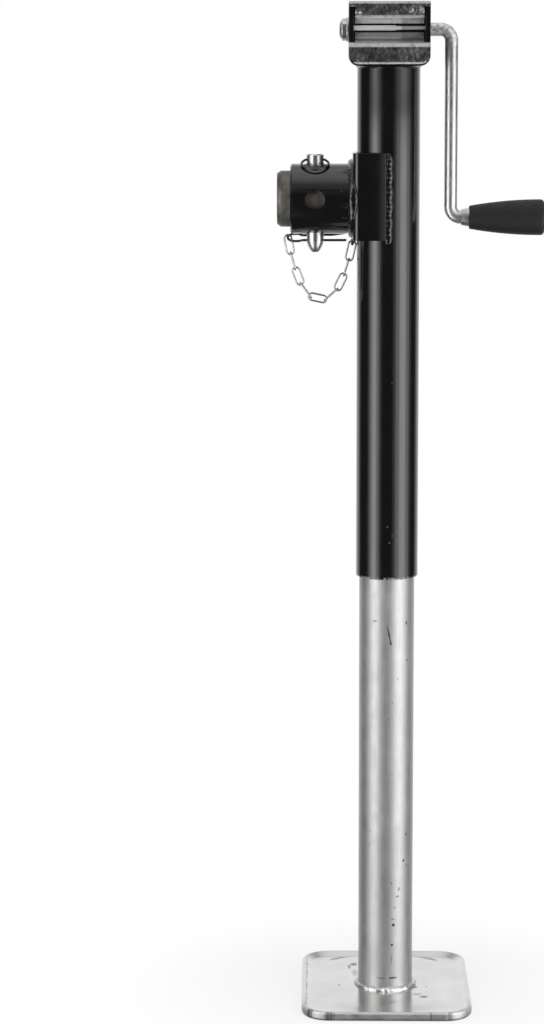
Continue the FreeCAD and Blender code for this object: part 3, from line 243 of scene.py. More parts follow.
def vectors(tree, operation, first, second=(0, 0, 0), output=0):
    """One step of vector arithmetic; output 1 is its plain number."""
    inputs = {0: first, 1: second}
    return node(tree, "ShaderNodeVectorMath", inputs, operation=operation).outputs[output]


def mixed(tree, share, first, second):
    """Mix two numbers."""
    return node(tree, "ShaderNodeMix", {0: share, 2: first, 3: second}).outputs[0]


def blend(tree, share, first, second):
    """Mix two colours."""
    inputs = {0: share, 6: first, 7: second}
    return node(tree, "ShaderNodeMix", inputs, data_type="RGBA").outputs[2]


def over(tree, base, colour, *shares):
    """Lay a colour over the base, as strongly as the shares multiplied together."""
    return blend(tree, times(tree, *shares), base, colour)


def height(tree, value, depth, strength=1.0, under=None):
    """Bump from a height value; depth is in metres."""
    inputs = {"Height": value, "Distance": depth, "Strength": strength}
    if under is not None:
        inputs["Normal"] = under
    return node(tree, "ShaderNodeBump", inputs).outputs[0]


def grey(level, warm=0.0):
    """A grey, warmer when the second value is above zero."""
    return (level * (1 + warm), level, level * (1 - warm), 1)


def surface(name, **constants):
    """Start a material whose shader has the given constant inputs."""
    made = bpy.data.materials.new(name)
    made.use_nodes = True
    shader = made.node_tree.nodes["Principled BSDF"]
    for key, value in constants.items():
        shader.inputs[key.replace("_", " ")].default_value = value
    return made, made.node_tree, shader


def inside(made):
    """The tree and the shader of a material that surface started."""
    return made.node_tree, made.node_tree.nodes["Principled BSDF"]


def feed(tree, shader, **inputs):
    """Link outputs to the shader's inputs, in place of what feeds them."""
    for key, value in inputs.items():
        tree.links.new(value, shader.inputs[key.replace("_", " ")])


def fed(shader, name):
    """The output that feeds one of the shader's inputs."""
    return shader.inputs[name].links[0].from_socket


def stains(tree, spots):
    """Ragged marks from 0 to 1; each spot has its place, half sizes, rotation and strength."""
    grain, ragged, clear_at, full_at = 420, 1.5, 1.75, 1.35
    here = place_in(tree)
    torn = times(tree, cloud(tree, here, grain, 4, 0.7), ragged)
    marks = []
    for place, half, turn, share in spots:
        inputs = {"Vector": here, "Location": place, "Rotation": turn, "Scale": half}
        local = node(tree, "ShaderNodeMapping", inputs, vector_type="TEXTURE").outputs[0]
        away = sums(tree, "ADD", vectors(tree, "LENGTH", local, output=1), torn)
        marks.append(times(tree, ramp(tree, away, clear_at, full_at), share))
    return highest(tree, *marks)


def tube_spots(rows, radius, depth=0.008):
    """Spots on a tube's front from rows of x, z, half width, half height, lean and strength."""
    return [((x, -math.sqrt(radius ** 2 - x ** 2), z), (wide, depth, tall), (0, lean, 0), share)
            for x, z, wide, tall, lean, share in rows]


def foot_spots(rows, depth=0.025):
    """Spots on the foot from rows of x, y, z, half length, half width, turn and strength."""
    return [((x, y, z), (long, wide, depth), (0, 0, turn), share)
            for x, y, z, long, wide, turn, share in rows]


# Materials

def black_paint(name):
    """Semi-gloss black powder coat with faint orange peel, dust and a few chips."""
    made, tree, shader = surface(name, Metallic=0.0, Coat_Weight=0.3, Coat_Roughness=0.08,
                                 Specular_IOR_Level=0.8)
    here = place_in(tree)
    base = blend(tree, cloud(tree, here, 60, 4, 0.6), grey(0.0025), grey(0.0055, 0.03))
    dust = ramp(tree, cloud(tree, here, 900, 2, 0.5), 0.68, 0.78)
    base = over(tree, base, grey(0.09, 0.05), dust, 0.25)
    chips = ramp(tree, cells(tree, here, 140), 0.035, 0.02)
    patch = ramp(tree, cloud(tree, here, 22, 2, 0.5), 0.62, 0.68)
    base = over(tree, base, grey(0.35), chips, patch)
    rough = uneven(tree, here, 35, 0.12, 0.2)
    peel = height(tree, cloud(tree, here, 700, 2, 0.5), 0.00005, 0.5)
    feed(tree, shader, Base_Color=base, Roughness=rough, Normal=peel)
    return made


def rim_paint():
    """The same paint on the outer tube: scuffed, and worn to bright metal round its lower edge."""
    worn_from, worn_full = TUBE_LOW.z + 0.0026, TUBE_LOW.z + 0.0002
    made = black_paint("black_powder_coat_tube")
    tree, shader = inside(made)
    here = place_in(tree)
    z = axes(tree, here)[2]
    broken = ramp(tree, cloud(tree, here, 260, 4, 0.7), 0.50, 0.56)
    marks = stains(tree, tube_spots(SCUFFS, TUBE_R))
    scuffed = over(tree, fed(shader, "Base Color"), grey(0.14), marks)
    paled = over(tree, scuffed, grey(0.5), ramp(tree, z, worn_from, worn_full), broken)
    feed(tree, shader, Base_Color=paled)
    return made


def zinc(name, level, rough, streak=0.0, axis=2, pits=0.0, coarse=1.0, lumps=0.00006):
    """Bright zinc plate: cloudy, with drawn streaks along one axis and small pits.

    level is its palest grey and rough the range of its roughness; streak and pits are from 0 to 1,
    coarse multiplies the scale of its patterns, and lumps is the depth of its bumps in metres.
    """
    made, tree, shader = surface(name, Metallic=1.0)
    here = place_in(tree)
    stretch = [1.0, 1.0, 1.0]
    stretch[axis] = 0.03
    drawn = cloud(tree, place_in(tree, stretch), 900 * coarse, 3, 0.6)
    cloudy = ramp(tree, cloud(tree, here, 28 * coarse, 5, 0.6, 0.4), 0.3, 0.7)
    base = blend(tree, cloudy, grey(level * 0.86, 0.01), grey(level, 0.005))
    base = over(tree, base, grey(level * 0.45), ramp(tree, drawn, 0.52, 0.75), streak)
    if pits:
        specks = ramp(tree, cells(tree, here, 75 * coarse), 0.055, 0.03)
        chosen = ramp(tree, cloud(tree, here, 18 * coarse, 2, 0.5), 0.53, 0.57)
        base = over(tree, base, grey(0.08, 0.05), specks, chosen, pits)
    bumps = height(tree, cloud(tree, here, 500 * coarse, 3, 0.6), lumps, 0.35)
    bumps = height(tree, drawn, 0.00003, 0.4 * min(1.0, streak * 2), bumps)
    feed(tree, shader, Base_Color=base, Roughness=uneven(tree, here, 90 * coarse, *rough, 4),
         Normal=bumps)
    return made


def inner_zinc():
    """Drawn zinc tube with the scratches and dark specks that the photograph shows."""
    made = zinc("drawn_zinc", 0.67, (0.45, 0.54), streak=0.35, pits=0.5)
    tree, shader = inside(made)
    marks = stains(tree, tube_spots(SCRATCHES, INNER_R))
    feed(tree, shader, Base_Color=over(tree, fed(shader, "Base Color"), grey(0.05), marks))
    return made


def foot_zinc():
    """Mirror-like zinc of the foot, with a dark line along the crease, splashes and scuffs, painted
    dark reflections on its front face, and a rougher rim.
    """
    # Half width of the crease and its soft edge, how far it runs, and where rim, front and face
    # turn dull
    crease_half, crease_edge = 0.0005, 0.0010
    crease_end, crease_full = 0.078, 0.07
    rim_start, rim_full = FOOT_CORNER - 0.0046, FOOT_CORNER - 0.0034
    front_start, front_full = -FOOT_HIGH.y + 0.045, -FOOT_HIGH.y + 0.02
    face_top, face_full = 0.0078, 0.0068
    made = zinc("foot_zinc", 0.72, (0.13, 0.21), axis=0, pits=0.4)
    tree, shader = inside(made)
    here = place_in(tree)
    x, y, z = axes(tree, here)
    across, along = sums(tree, "ABSOLUTE", x), sums(tree, "ABSOLUTE", y)
    crease = times(tree, ramp(tree, off(tree, x, CREASE_X), crease_edge, crease_half),
                   ramp(tree, along, crease_end, crease_full),
                   ramp(tree, cloud(tree, here, 90, 3, 0.6), 0.35, 0.5, 0.15, 0.55))
    marks = highest(tree, stains(tree, foot_spots(SPLASHES_AND_REFLECTIONS)), crease)
    # How far out a point is, measured round the corners as along the sides
    past = [ramp(tree, value, side - FOOT_CORNER, side, 0.0, FOOT_CORNER)
            for value, side in ((across, FOOT_HIGH.x), (along, FOOT_HIGH.y))]
    squares = [sums(tree, "POWER", value, 2) for value in past]
    reach = sums(tree, "SQRT", sums(tree, "ADD", *squares))
    front = highest(tree, ramp(tree, y, front_start, front_full),
                    ramp(tree, z, face_top, face_full))
    edge = mixed(tree, front, 0.26, uneven(tree, here, 160, 0.42, 0.62, 4, 0.65))
    rough = mixed(tree, ramp(tree, reach, rim_start, rim_full), fed(shader, "Roughness"), edge)
    base = over(tree, fed(shader, "Base Color"), grey(0.09), marks)
    feed(tree, shader, Base_Color=base, Roughness=rough)
    return made


def crank_zinc():
    """Zinc of the crank rod, duller and blotchy along its upper run."""
    upper_from, upper_full = CRANK_TOP - 0.028, CRANK_TOP - 0.014
    made = zinc("crank_zinc", 0.80, (0.28, 0.46), streak=0.5, pits=0.6, coarse=1.6)
    tree, shader = inside(made)
    here = place_in(tree)
    z = axes(tree, here)[2]
    upper = ramp(tree, z, upper_from, upper_full)
    blotches = ramp(tree, cloud(tree, here, 330, 4, 0.65), 0.34, 0.54)
    mottled = blend(tree, blotches, grey(0.42), grey(1.0))
    feed(tree, shader, Base_Color=over(tree, fed(shader, "Base Color"), mottled, upper),
         Roughness=mixed(tree, upper, fed(shader, "Roughness"), 0.50))
    return made


def cover_pin_zinc():
    """Pale zinc of the pin in the trough, with painted shade on its right part."""
    made = zinc("cover_pin_zinc", 0.95, (0.55, 0.66), streak=0.2, axis=0, pits=0.3, coarse=2.0)
    tree, shader = inside(made)
    x = axes(tree, place_in(tree))[0]
    # Painted shade on the pin's right part
    right_shade = ramp(tree, x, *SHADED_X, 0.0, 0.75)
    feed(tree, shader, Base_Color=over(tree, fed(shader, "Base Color"), grey(0.35), right_shade))
    return made


def galvanised():
    """Galvanised sheet of the gear cover: tilted crystal grains under a dark bloom, a smooth trough
    with painted shade on its lower part and round its pin, and pale bends of worn zinc with painted
    highlight."""
    # Depth of the trough behind the front, then heights below the pin or off it
    front_from, front_full = COVER_LOW.y + 0.011, COVER_LOW.y + 0.009
    bend_fade = 0.001
    shade_from, shade_full = 0.0030, 0.0036
    line_below, line_half, line_edge = 0.0088, 0.0005, 0.0010
    pin_shade_half, pin_shade_edge = 0.0036, 0.0043
    grain_tilt = 0.28
    made, tree, shader = surface("galvanised_sheet", Metallic=1.0)
    here = place_in(tree)
    x, y, z = axes(tree, here)

    # Grains and bloom
    grains = cells(tree, place_in(tree, (1, 1, 0.55), (0.057, 0.043, 0.091)), 680, "Color")
    tone = node(tree, "ShaderNodeSeparateColor", {"Color": grains}).outputs[0]
    moved = place_in(tree, shift=(0.31, 0.17, 0.23))
    patches = ramp(tree, cloud(tree, moved, 190, 5, 0.7, 0.3), 0.40, 0.62)
    base = blend(tree, patches, grey(0.12), grey(0.58, 0.01))
    base = over(tree, base, grey(0.40), tone, 0.45)
    fine = ramp(tree, cloud(tree, here, 1100, 3, 0.7), 0.56, 0.72)
    base = over(tree, base, grey(0.75), fine, 0.6)

    # The trough between its bends, drawn smooth
    trough = times(tree, ramp(tree, y, front_from, front_full),
                   ramp(tree, z, TROUGH_LOW, TROUGH_LOW + bend_fade),
                   ramp(tree, z, TROUGH_HIGH, TROUGH_HIGH - bend_fade))
    drawn = cloud(tree, place_in(tree, (0.05, 1, 1)), 900, 3, 0.6)
    smooth = blend(tree, ramp(tree, drawn, 0.3, 0.7), grey(0.75), grey(0.9))
    # Painted shade: the pale trough is laid less strongly towards its right part
    unshaded = ramp(tree, x, *SHADED_X, 0.95, 0.5)
    base = over(tree, base, smooth, trough, unshaded)

    # Painted shade on the trough's lower part, left out along one pale line, and painted shade in
    # the gaps just above and below the pin
    below_pin = sums(tree, "SUBTRACT", PIN_Z, z)
    line = times(tree, ramp(tree, off(tree, below_pin, line_below), line_edge, line_half), unshaded)
    base = over(tree, base, grey(0.09), trough, ramp(tree, below_pin, shade_from, shade_full),
                ramp(tree, line, 0.5, 0.9, 0.55, 0.1))
    pin_shade = ramp(tree, off(tree, z, PIN_Z), pin_shade_edge, pin_shade_half)
    base = over(tree, base, grey(0.014), trough, pin_shade)

    # Pale bends and edges: worn zinc, and painted highlight where the bends catch light
    bands = [ramp(tree, off(tree, z, middle), half, half * 0.5) for middle, half in WORN_AND_LIT_BANDS]
    broken = ramp(tree, cloud(tree, here, 240, 4, 0.65), 0.34, 0.5, 0.45, 1.0)
    paled = times(tree, highest(tree, *bands), broken)
    base = over(tree, base, grey(0.72), paled, 0.85)
    rough = mixed(tree, highest(tree, trough, paled), uneven(tree, here, 120, 0.24, 0.38), 0.58)

    centred = vectors(tree, "SUBTRACT", grains, (0.5, 0.5, 0.5))
    tilt = vectors(tree, "MULTIPLY", centred, (grain_tilt, grain_tilt, grain_tilt))
    bumps = height(tree, cloud(tree, moved, 420, 4, 0.65), 0.00012, 0.5)
    facing = vectors(tree, "NORMALIZE", vectors(tree, "ADD", bumps, tilt))
    feed(tree, shader, Base_Color=base, Roughness=rough, Normal=facing,
         Metallic=ramp(tree, paled, 0.0, 1.0, 1.0, 0.45))
    return made


def bare_steel():
    """Mill steel, brown-grey and unpainted."""
    made, tree, shader = surface("bare_mill_steel", Metallic=0.85)
    here = place_in(tree)
    scale = cloud(tree, here, 90, 5, 0.65, 0.5)
    dark, pale, rusty = (0.125, 0.115, 0.103, 1), (0.255, 0.243, 0.228, 1), (0.16, 0.09, 0.05, 1)
    base = blend(tree, ramp(tree, scale, 0.35, 0.65), dark, pale)
    rust = ramp(tree, cloud(tree, here, 40, 4, 0.6), 0.60, 0.72)
    base = over(tree, base, rusty, rust, 0.4)
    rough = ramp(tree, scale, 0.3, 0.7, 0.42, 0.58)
    bumps = height(tree, cloud(tree, here, 800, 4, 0.6), 0.0001, 0.5)
    feed(tree, shader, Base_Color=base, Roughness=rough, Normal=bumps)
    return made


def matte_black():
    """Moulded grip plastic with a fine grain."""
    made, tree, shader = surface("moulded_grip_plastic", Metallic=0.0)
    here = place_in(tree)
    base = blend(tree, cloud(tree, here, 50, 4, 0.6), grey(0.007), grey(0.012))
    scuffs = ramp(tree, cloud(tree, place_in(tree, (0.3, 1, 1)), 500, 3, 0.65), 0.66, 0.8)
    base = over(tree, base, grey(0.05), scuffs, 0.5)
    rough = uneven(tree, here, 300, 0.5, 0.66, 3, 0.5)
    grain = height(tree, cells(tree, here, 1500), 0.00012, 0.5)
    feed(tree, shader, Base_Color=base, Roughness=rough, Normal=grain)
    return made


def dark_wire():
    """Phosphated spring wire."""
    made, tree, shader = surface("dark_spring_wire", Metallic=1.0)
    here = place_in(tree)
    base = blend(tree, cloud(tree, here, 300, 3, 0.6), grey(0.045), grey(0.15, 0.04))
    rough = uneven(tree, here, 500, 0.28, 0.45, 2, 0.5)
    grain = height(tree, cloud(tree, here, 1500), 0.00004, 0.5)
    feed(tree, shader, Base_Color=base, Roughness=rough, Normal=grain)
    return made


def bronze():
    """Oiled sintered bronze."""
    made, tree, shader = surface("sintered_bronze", Metallic=1.0)
    here = place_in(tree)
    dark, pale = (0.30, 0.20, 0.10, 1), (0.52, 0.37, 0.2, 1)
    base = blend(tree, cloud(tree, here, 400, 4, 0.7), dark, pale)
    rough = uneven(tree, here, 700, 0.35, 0.5)
    grain = height(tree, cloud(tree, here, 2500), 0.00003, 0.6)
    feed(tree, shader, Base_Color=base, Roughness=rough, Normal=grain)
    return made


# The finish of each of the record's material slots, and of the nodes that differ from theirs
FINISH = {
    "black_paint": black_paint("black_powder_coat"),
    "galvanised_cover": galvanised(),
    "bright_zinc": zinc("fastener_zinc", 0.78, (0.26, 0.36), streak=0.15, coarse=2.0),
    "crank_zinc": crank_zinc(),
    "bare_steel": bare_steel(),
    "machined_steel": zinc("oiled_steel", 0.42, (0.25, 0.38), streak=0.3, coarse=2.0),
    "bronze": bronze(),
    "dark_wire": dark_wire(),
    "grip_plastic": matte_black(),
}
OWN_FINISH = {
    "outer_tube": rim_paint(),
    "inner_tube": inner_zinc(),
    "foot_plate": foot_zinc(),
    "foot_weld": zinc("weld_zinc", 0.74, (0.28, 0.42), axis=0, pits=0.3, coarse=1.6, lumps=0.0006),
    "cover_pin": cover_pin_zinc(),
    "crank_nut": FINISH["bright_zinc"],
}
SLOTS = {entry["node"]: entry["material_slot"] for entry in frame["record"]["subparts"]}
BODY_OF = {name: body for body, names in frame["record"]["behaviour"]["bodies"].items()
           for name in names}


def finish_of(name):
    """The material of a CAD node."""
    return OWN_FINISH.get(name, FINISH[SLOTS[name]])


for name, item in nodes.items():
    for slot in item.material_slots:
        slot.material = finish_of(name)


# Pieces

def add_piece(label, mesh, node_name, replace=True):
    """Make a piece from a mesh; it rides, is finished and stands as the CAD node does."""
    piece = bpy.data.objects.new(label, mesh)
    scene.collection.objects.link(piece)
    mesh.materials.clear()
    mesh.materials.append(finish_of(node_name))
    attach(piece, BODY_OF[node_name])
    if replace:
        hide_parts(node_name)
    return piece


# Sharp edges rounded on a copy of the node: node and width of the rounding
ROUNDED = [
    ("mount_sleeve", 0.0007),
    ("mount_stub", 0.0006),
    ("mount_bracket", 0.0006),
    ("gear_bracket", 0.0006),
    ("gear_cover", 0.0004),
    ("crank_nut", 0.0004),
    ("crank_washer", 0.0003),
]


def rounded_copy(name, width):
    """Copy a CAD node's mesh with its sharp edges rounded."""
    flat, sharp, shaded = math.radians(0.5), math.radians(32), math.radians(24)
    work = bmesh.new()
    work.from_mesh(nodes[name].data)
    bmesh.ops.remove_doubles(work, verts=work.verts, dist=1e-6)
    bmesh.ops.dissolve_limit(work, angle_limit=flat, verts=work.verts, edges=work.edges)
    chosen = [edge for edge in work.edges
              if len(edge.link_faces) == 2 and edge.calc_face_angle(0) > sharp]
    bmesh.ops.bevel(work, geom=chosen, offset=width, segments=2, profile=0.5, affect="EDGES",
                    clamp_overlap=True)
    mesh = bpy.data.meshes.new(name + "_rounded")
    work.to_mesh(mesh)
    work.free()
    mesh.shade_smooth()
    mesh.set_sharp_from_angle(angle=shaded)
    return add_piece(name + "_rounded", mesh, name)


def ring_mesh(label, rings, closed=False):
    """Skin rings of points, with caps at both ends unless it closes on itself."""
    points = [tuple(point) for ring in rings for point in ring]
    count = len(rings[0])
    faces = []
    for row in range(len(rings) if closed else len(rings) - 1):
        here, after = row * count, (row + 1) % len(rings) * count
        for column in range(count):
            side = (column + 1) % count
            faces.append((here + column, here + side, after + side, after + column))
    if not closed:
        faces.append(tuple(range(count - 1, -1, -1)))
        faces.append(tuple((len(rings) - 1) * count + index for index in range(count)))
    mesh = bpy.data.meshes.new(label)
    mesh.from_pydata(points, [], faces)
    work = bmesh.new()
    work.from_mesh(mesh)
    bmesh.ops.recalc_face_normals(work, faces=work.faces)
    work.to_mesh(mesh)
    work.free()
    mesh.shade_smooth()
    return mesh


def bead(label, node_name, route, length, half_width, crown, pitch, seed, closed=False,
         sink=0.0008):
    """Weld bead in place of a node.

    route(share) gives its middle, the way out of the metal and the way across; crown is how high
    it stands, pitch the distance between its ripples and sink how far it reaches into the metal.
    """
    section, steps_per_ripple = 15, 7
    # Shares of the crown and the width that vary, and how far the ripples bow and drift
    swelling, widening, rippling, lumping = 0.22, 0.12, 0.16, 0.10
    bow, drift, ripple_fall = 0.55, 0.25, 1.6
    # Lengths of the swells and the lumps in ripples, and lumps across half the width
    swell_length, lump_length, lumps_across = 2.2, 0.6, 1.5
    # How suddenly the ends taper and to what, and the underside's share of the width
    taper, least_end, underside = 12, 0.02, 0.98
    steps = max(8, round(length / (pitch / steps_per_ripple)))
    rings = []
    for step in range(steps if closed else steps + 1):
        share = step / steps
        middle, out, across = route(share)
        end = 1.0
        if not closed:
            end = math.sqrt(max(least_end, 1 - (2 * share - 1) ** taper))
        wander = noise.noise(Vector((share * length / (pitch * swell_length), seed, 0.5)))
        swell = 1 + swelling * wander
        ring = []
        for index in range(section):
            side = -1 + 2 * index / (section - 1)
            phase = share * length / pitch - bow * side * side + drift * wander
            ripple = rippling * (1 - (phase % 1.0)) ** ripple_fall
            along = share * length / (pitch * lump_length)
            lump = lumping * noise.noise(Vector((along, side * lumps_across, seed)))
            round_top = math.sqrt(max(0.0, 1 - side ** 2))
            lift = crown * end * swell * (round_top * (1 - rippling + ripple + lump))
            wide = half_width * side * end * (1 + widening * wander)
            ring.append(middle + across * wide + out * lift)
        for index in range(section - 2, 0, -1):
            side = -1 + 2 * index / (section - 1)
            wide = half_width * side * end * underside
            ring.append(middle + across * wide - out * sink)
        rings.append(ring)
    return add_piece(label, ring_mesh(label, rings, closed), node_name)


def saddle_beads():
    """Rippled beads that join the saddle's legs to the outer tube."""
    # Where the bead lies along x, how far it sways and how often, and the hook at its lower end
    bead_x, sway, sways = -0.0006, 0.00035, 37
    hooked, hook = 0.07, 0.072
    low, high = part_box("bracket_welds")
    length = high.z - low.z
    for number, side in enumerate((-1, 1)):
        def route(share, side=side):
            turn = math.asin(bead_x / TUBE_R) + sway / TUBE_R * math.sin(share * sways + side)
            turn += max(0.0, hooked - share) * hook
            out = Vector((math.sin(turn), side * math.cos(turn), 0))
            middle = out * TUBE_R + Vector((0, 0, low.z + length * share))
            return middle, out, Vector((out.y * side, -out.x * side, 0))

        bead(f"saddle_bead_{number + 1}", "bracket_welds", route, length, half_width=0.0040,
             crown=0.0031, pitch=0.0043, seed=3.1 + side)


def foot_bead():
    """Lumpy bead round the inner tube on the foot."""
    ring_r = INNER_R + 0.0011
    base = INNER_LOW.z + 0.0020
    radial_part, upright_part = 0.72, 0.70
    # Where the bead was started and ended: place round the ring, width, size
    lumps = ((0.755, 0.018, 0.7), (0.70, 0.012, 0.5))
    higher, wider = 0.5, 0.45
    up = Vector((0, 0, 1))

    def route(share):
        angle = 2 * math.pi * share
        radial = Vector((math.cos(angle), math.sin(angle), 0))
        out = (radial * radial_part + up * upright_part).normalized()
        across = (up * radial_part - radial * upright_part).normalized()
        lump = sum(size * math.exp(-((share - place) / width) ** 2)
                   for place, width, size in lumps)
        middle = radial * ring_r + up * base
        return middle, out * (1 + higher * lump), across * (1 + wider * lump)

    bead("foot_bead", "foot_weld", route, 2 * math.pi * ring_r, half_width=0.0028, crown=0.0029,
         pitch=0.0068, seed=8.7, closed=True, sink=0.0006)


def sleeve_bead():
    """Bead right round the sleeve, wider where it fills the gap at the saddle's two bends."""
    ring_r, inset = SLEEVE_R + 0.0008, 0.0008
    # Radius of the saddle's bends outside, and how the bead leans, fills out and reaches into them
    bend = 0.006
    lean, fuller, into_gap = 0.7, 0.25, 0.5
    flat = SADDLE_SIDE - bend

    def gap_at(reach):
        """How far the saddle's bend falls back at this distance from its middle."""
        return bend - math.sqrt(bend ** 2 - max(0.0, reach - flat) ** 2)

    def route(share):
        angle = 2 * math.pi * share
        radial = Vector((0, math.sin(angle), math.cos(angle)))
        gap = gap_at(abs(radial.y) * SLEEVE_R)
        side = gap / gap_at(SLEEVE_R)
        steep, slant = lean + (1 - lean) * side, lean * (1 - side)
        out = (radial * steep + Vector((-slant, 0, 0))).normalized()
        across = (radial * slant + Vector((steep, 0, 0))).normalized()
        x = SLEEVE_HIGH.x - inset + into_gap * gap
        middle = Vector((x, 0, MOUNT_Z)) + radial * ring_r
        return middle, out * (1 - fuller * side), across * (1 + fuller * side)

    bead("sleeve_bead", "sleeve_weld", route, 2 * math.pi * ring_r, half_width=0.0034,
         crown=0.0030, pitch=0.0052, seed=5.3, closed=True)


def rounded_rectangle(half_x, half_y, corner):
    """Points round a rounded rectangle, always as many and in the same order."""
    per_corner, per_side = 20, 40

    def on_corner(quarter, index):
        """A point of one corner's arc; index 0 is its first."""
        turn = quarter * math.pi / 2 + math.pi / 2 * index / per_corner
        sign_x = 1 if quarter % 4 in (0, 3) else -1
        sign_y = 1 if quarter % 4 in (0, 1) else -1
        centre = Vector((sign_x * (half_x - corner), sign_y * (half_y - corner), 0))
        return centre + Vector((math.cos(turn), math.sin(turn), 0)) * corner

    points = []
    for quarter in range(4):
        points += [on_corner(quarter, index) for index in range(per_corner + 1)]
        start, goal = points[-1], on_corner(quarter + 1, 0)
        points += [start.lerp(goal, index / per_side) for index in range(1, per_side)]
    return points


def foot_pan():
    """Pressed foot: rolled rim with a slightly uneven face, pan and a low pad round the tube."""
    half_x, half_y, top, floor = FOOT_HIGH.x, FOOT_HIGH.y, FOOT_HIGH.z, INNER_LOW.z
    under, over_edge, lip = 0.0030, 0.0024, 0.0002
    slope_start, slope_end = 0.0028, 0.0098
    least_corner = 0.004
    # The face's waves: how close they are along and up, and their size
    waves = ((70, 120, 1.0), (260, 300, 0.5))
    wave_depth, wave_floor = 0.0022, 0.003
    # Half sizes, corner and rise of the pad, the widths of its walls, where it turns to its front
    # wall, and the half size of its last ring, inside the tube
    pad_x, pad_y, pad_corner, pad_rise = 0.0600, 0.0840, 0.024, 0.0016
    side_wall, back_wall, front_wall = 0.0160, 0.0026, 0.0190
    front_start, front_run = 0.02, 0.05
    middle_r = INNER_R * 0.8
    # Corners of the pad's flat as a share of its half size, and how much rounder at the middle
    pad_round, rounder = 0.45, 0.5
    steps = 8

    # Inset and height, from the rim's underside over its top and down the slope to the floor
    quarter = [math.pi / 2 * index / steps for index in range(steps + 1)]
    profile = [(under + lip, 0.0)]
    profile += [(under * (1 - math.sin(turn)), under * (1 - math.cos(turn))) for turn in quarter]
    profile += [(over_edge * (1 - math.cos(turn)), top - over_edge * (1 - math.sin(turn)))
                for turn in quarter]
    for index in range(steps + 1):
        share = (1 - math.cos(math.pi * index / steps)) / 2
        inset = slope_start + (slope_end - slope_start) * share
        profile.append((inset, top - (top - floor) * share))
    rings = []
    for inset, z in profile:
        corner = max(FOOT_CORNER - inset, least_corner)
        ring = rounded_rectangle(half_x - inset, half_y - inset, corner)
        depth = wave_depth * min(1.0, z / wave_floor) if inset < slope_start else 0
        for point in ring:
            wave = sum(size * noise.noise(Vector((point.x * level, point.y * level, z * upright)))
                       for level, upright, size in waves)
            point *= 1 - depth * max(0.0, wave)
        rings.append([point + Vector((0, 0, z)) for point in ring])

    def pad_ring(x, y, corner, rise, wall_share):
        """A ring of the pad; its front is drawn back, because its front wall is the widest."""
        ring = rounded_rectangle(x, y, corner)
        for point in ring:
            toward = min(1.0, max(0.0, (-point.y - front_start) / front_run))
            point.y += (front_wall - back_wall) * wall_share * toward
        return [point + Vector((0, 0, floor + rise)) for point in ring]

    for index in range(steps * 2 + 1):
        share = index / (steps * 2)
        ease = share * share * (3 - 2 * share)
        rings.append(pad_ring(pad_x - side_wall * share, pad_y - back_wall * share, pad_corner,
                              pad_rise * ease, share))
    inner_x, inner_y = pad_x - side_wall, pad_y - back_wall
    for index in range(1, steps):
        share = index / steps
        x = inner_x + (middle_r - inner_x) * share
        y = inner_y + (middle_r - inner_y) * share
        corner = min(x, y) * (pad_round + rounder * share)
        rings.append(pad_ring(x, y, corner, pad_rise, 1))
    mesh = ring_mesh("foot_pan", rings)
    mesh.set_sharp_from_angle(angle=math.radians(40))
    add_piece("foot_pan", mesh, "foot_plate")


def spatter():
    """Weld drops that stuck beside the beads of the saddle and the sleeve."""
    saddle_drops, sleeve_drops = 5, 4
    leg_x, leg_y, leg_z = (-0.0325, -0.0300), -0.0326, (-0.03, 0.01)
    sleeve_x, sleeve_z = (-0.043, -0.037), (-0.02, 0.02)
    drop_r, drop_wide, drop_flat, drop_tall = (0.0004, 0.0008), (0.9, 1.5), 0.6, (0.9, 1.3)
    dent, dents_per_metre, shift_per_metre = 0.25, 1500, 100
    picks = random.Random(11)
    work = bmesh.new()
    spots = []
    for _ in range(saddle_drops):
        spots.append(Vector((picks.uniform(*leg_x), leg_y, MOUNT_Z + picks.uniform(*leg_z))))
    for _ in range(sleeve_drops):
        z = MOUNT_Z + picks.uniform(*sleeve_z)
        depth = math.sqrt(SLEEVE_R ** 2 - (z - MOUNT_Z) ** 2)
        spots.append(Vector((picks.uniform(*sleeve_x), -depth, z)))
    for spot in spots:
        drop = bmesh.ops.create_icosphere(work, subdivisions=2, radius=picks.uniform(*drop_r))
        squash = Vector((picks.uniform(*drop_wide), drop_flat, picks.uniform(*drop_tall)))
        for vert in drop["verts"]:
            place = vert.co * dents_per_metre + spot * shift_per_metre
            wobble = 1 + dent * noise.noise(place)
            vert.co = Vector(vert.co * squash) * wobble + spot
    mesh = bpy.data.meshes.new("spatter")
    work.to_mesh(mesh)
    work.free()
    mesh.shade_smooth()
    add_piece("spatter", mesh, "mount_bracket", replace=False)


saddle_beads()
foot_bead()
sleeve_bead()
foot_pan()
spatter()
for name, width in ROUNDED:
    rounded_copy(name, width)


# Floor, light and camera

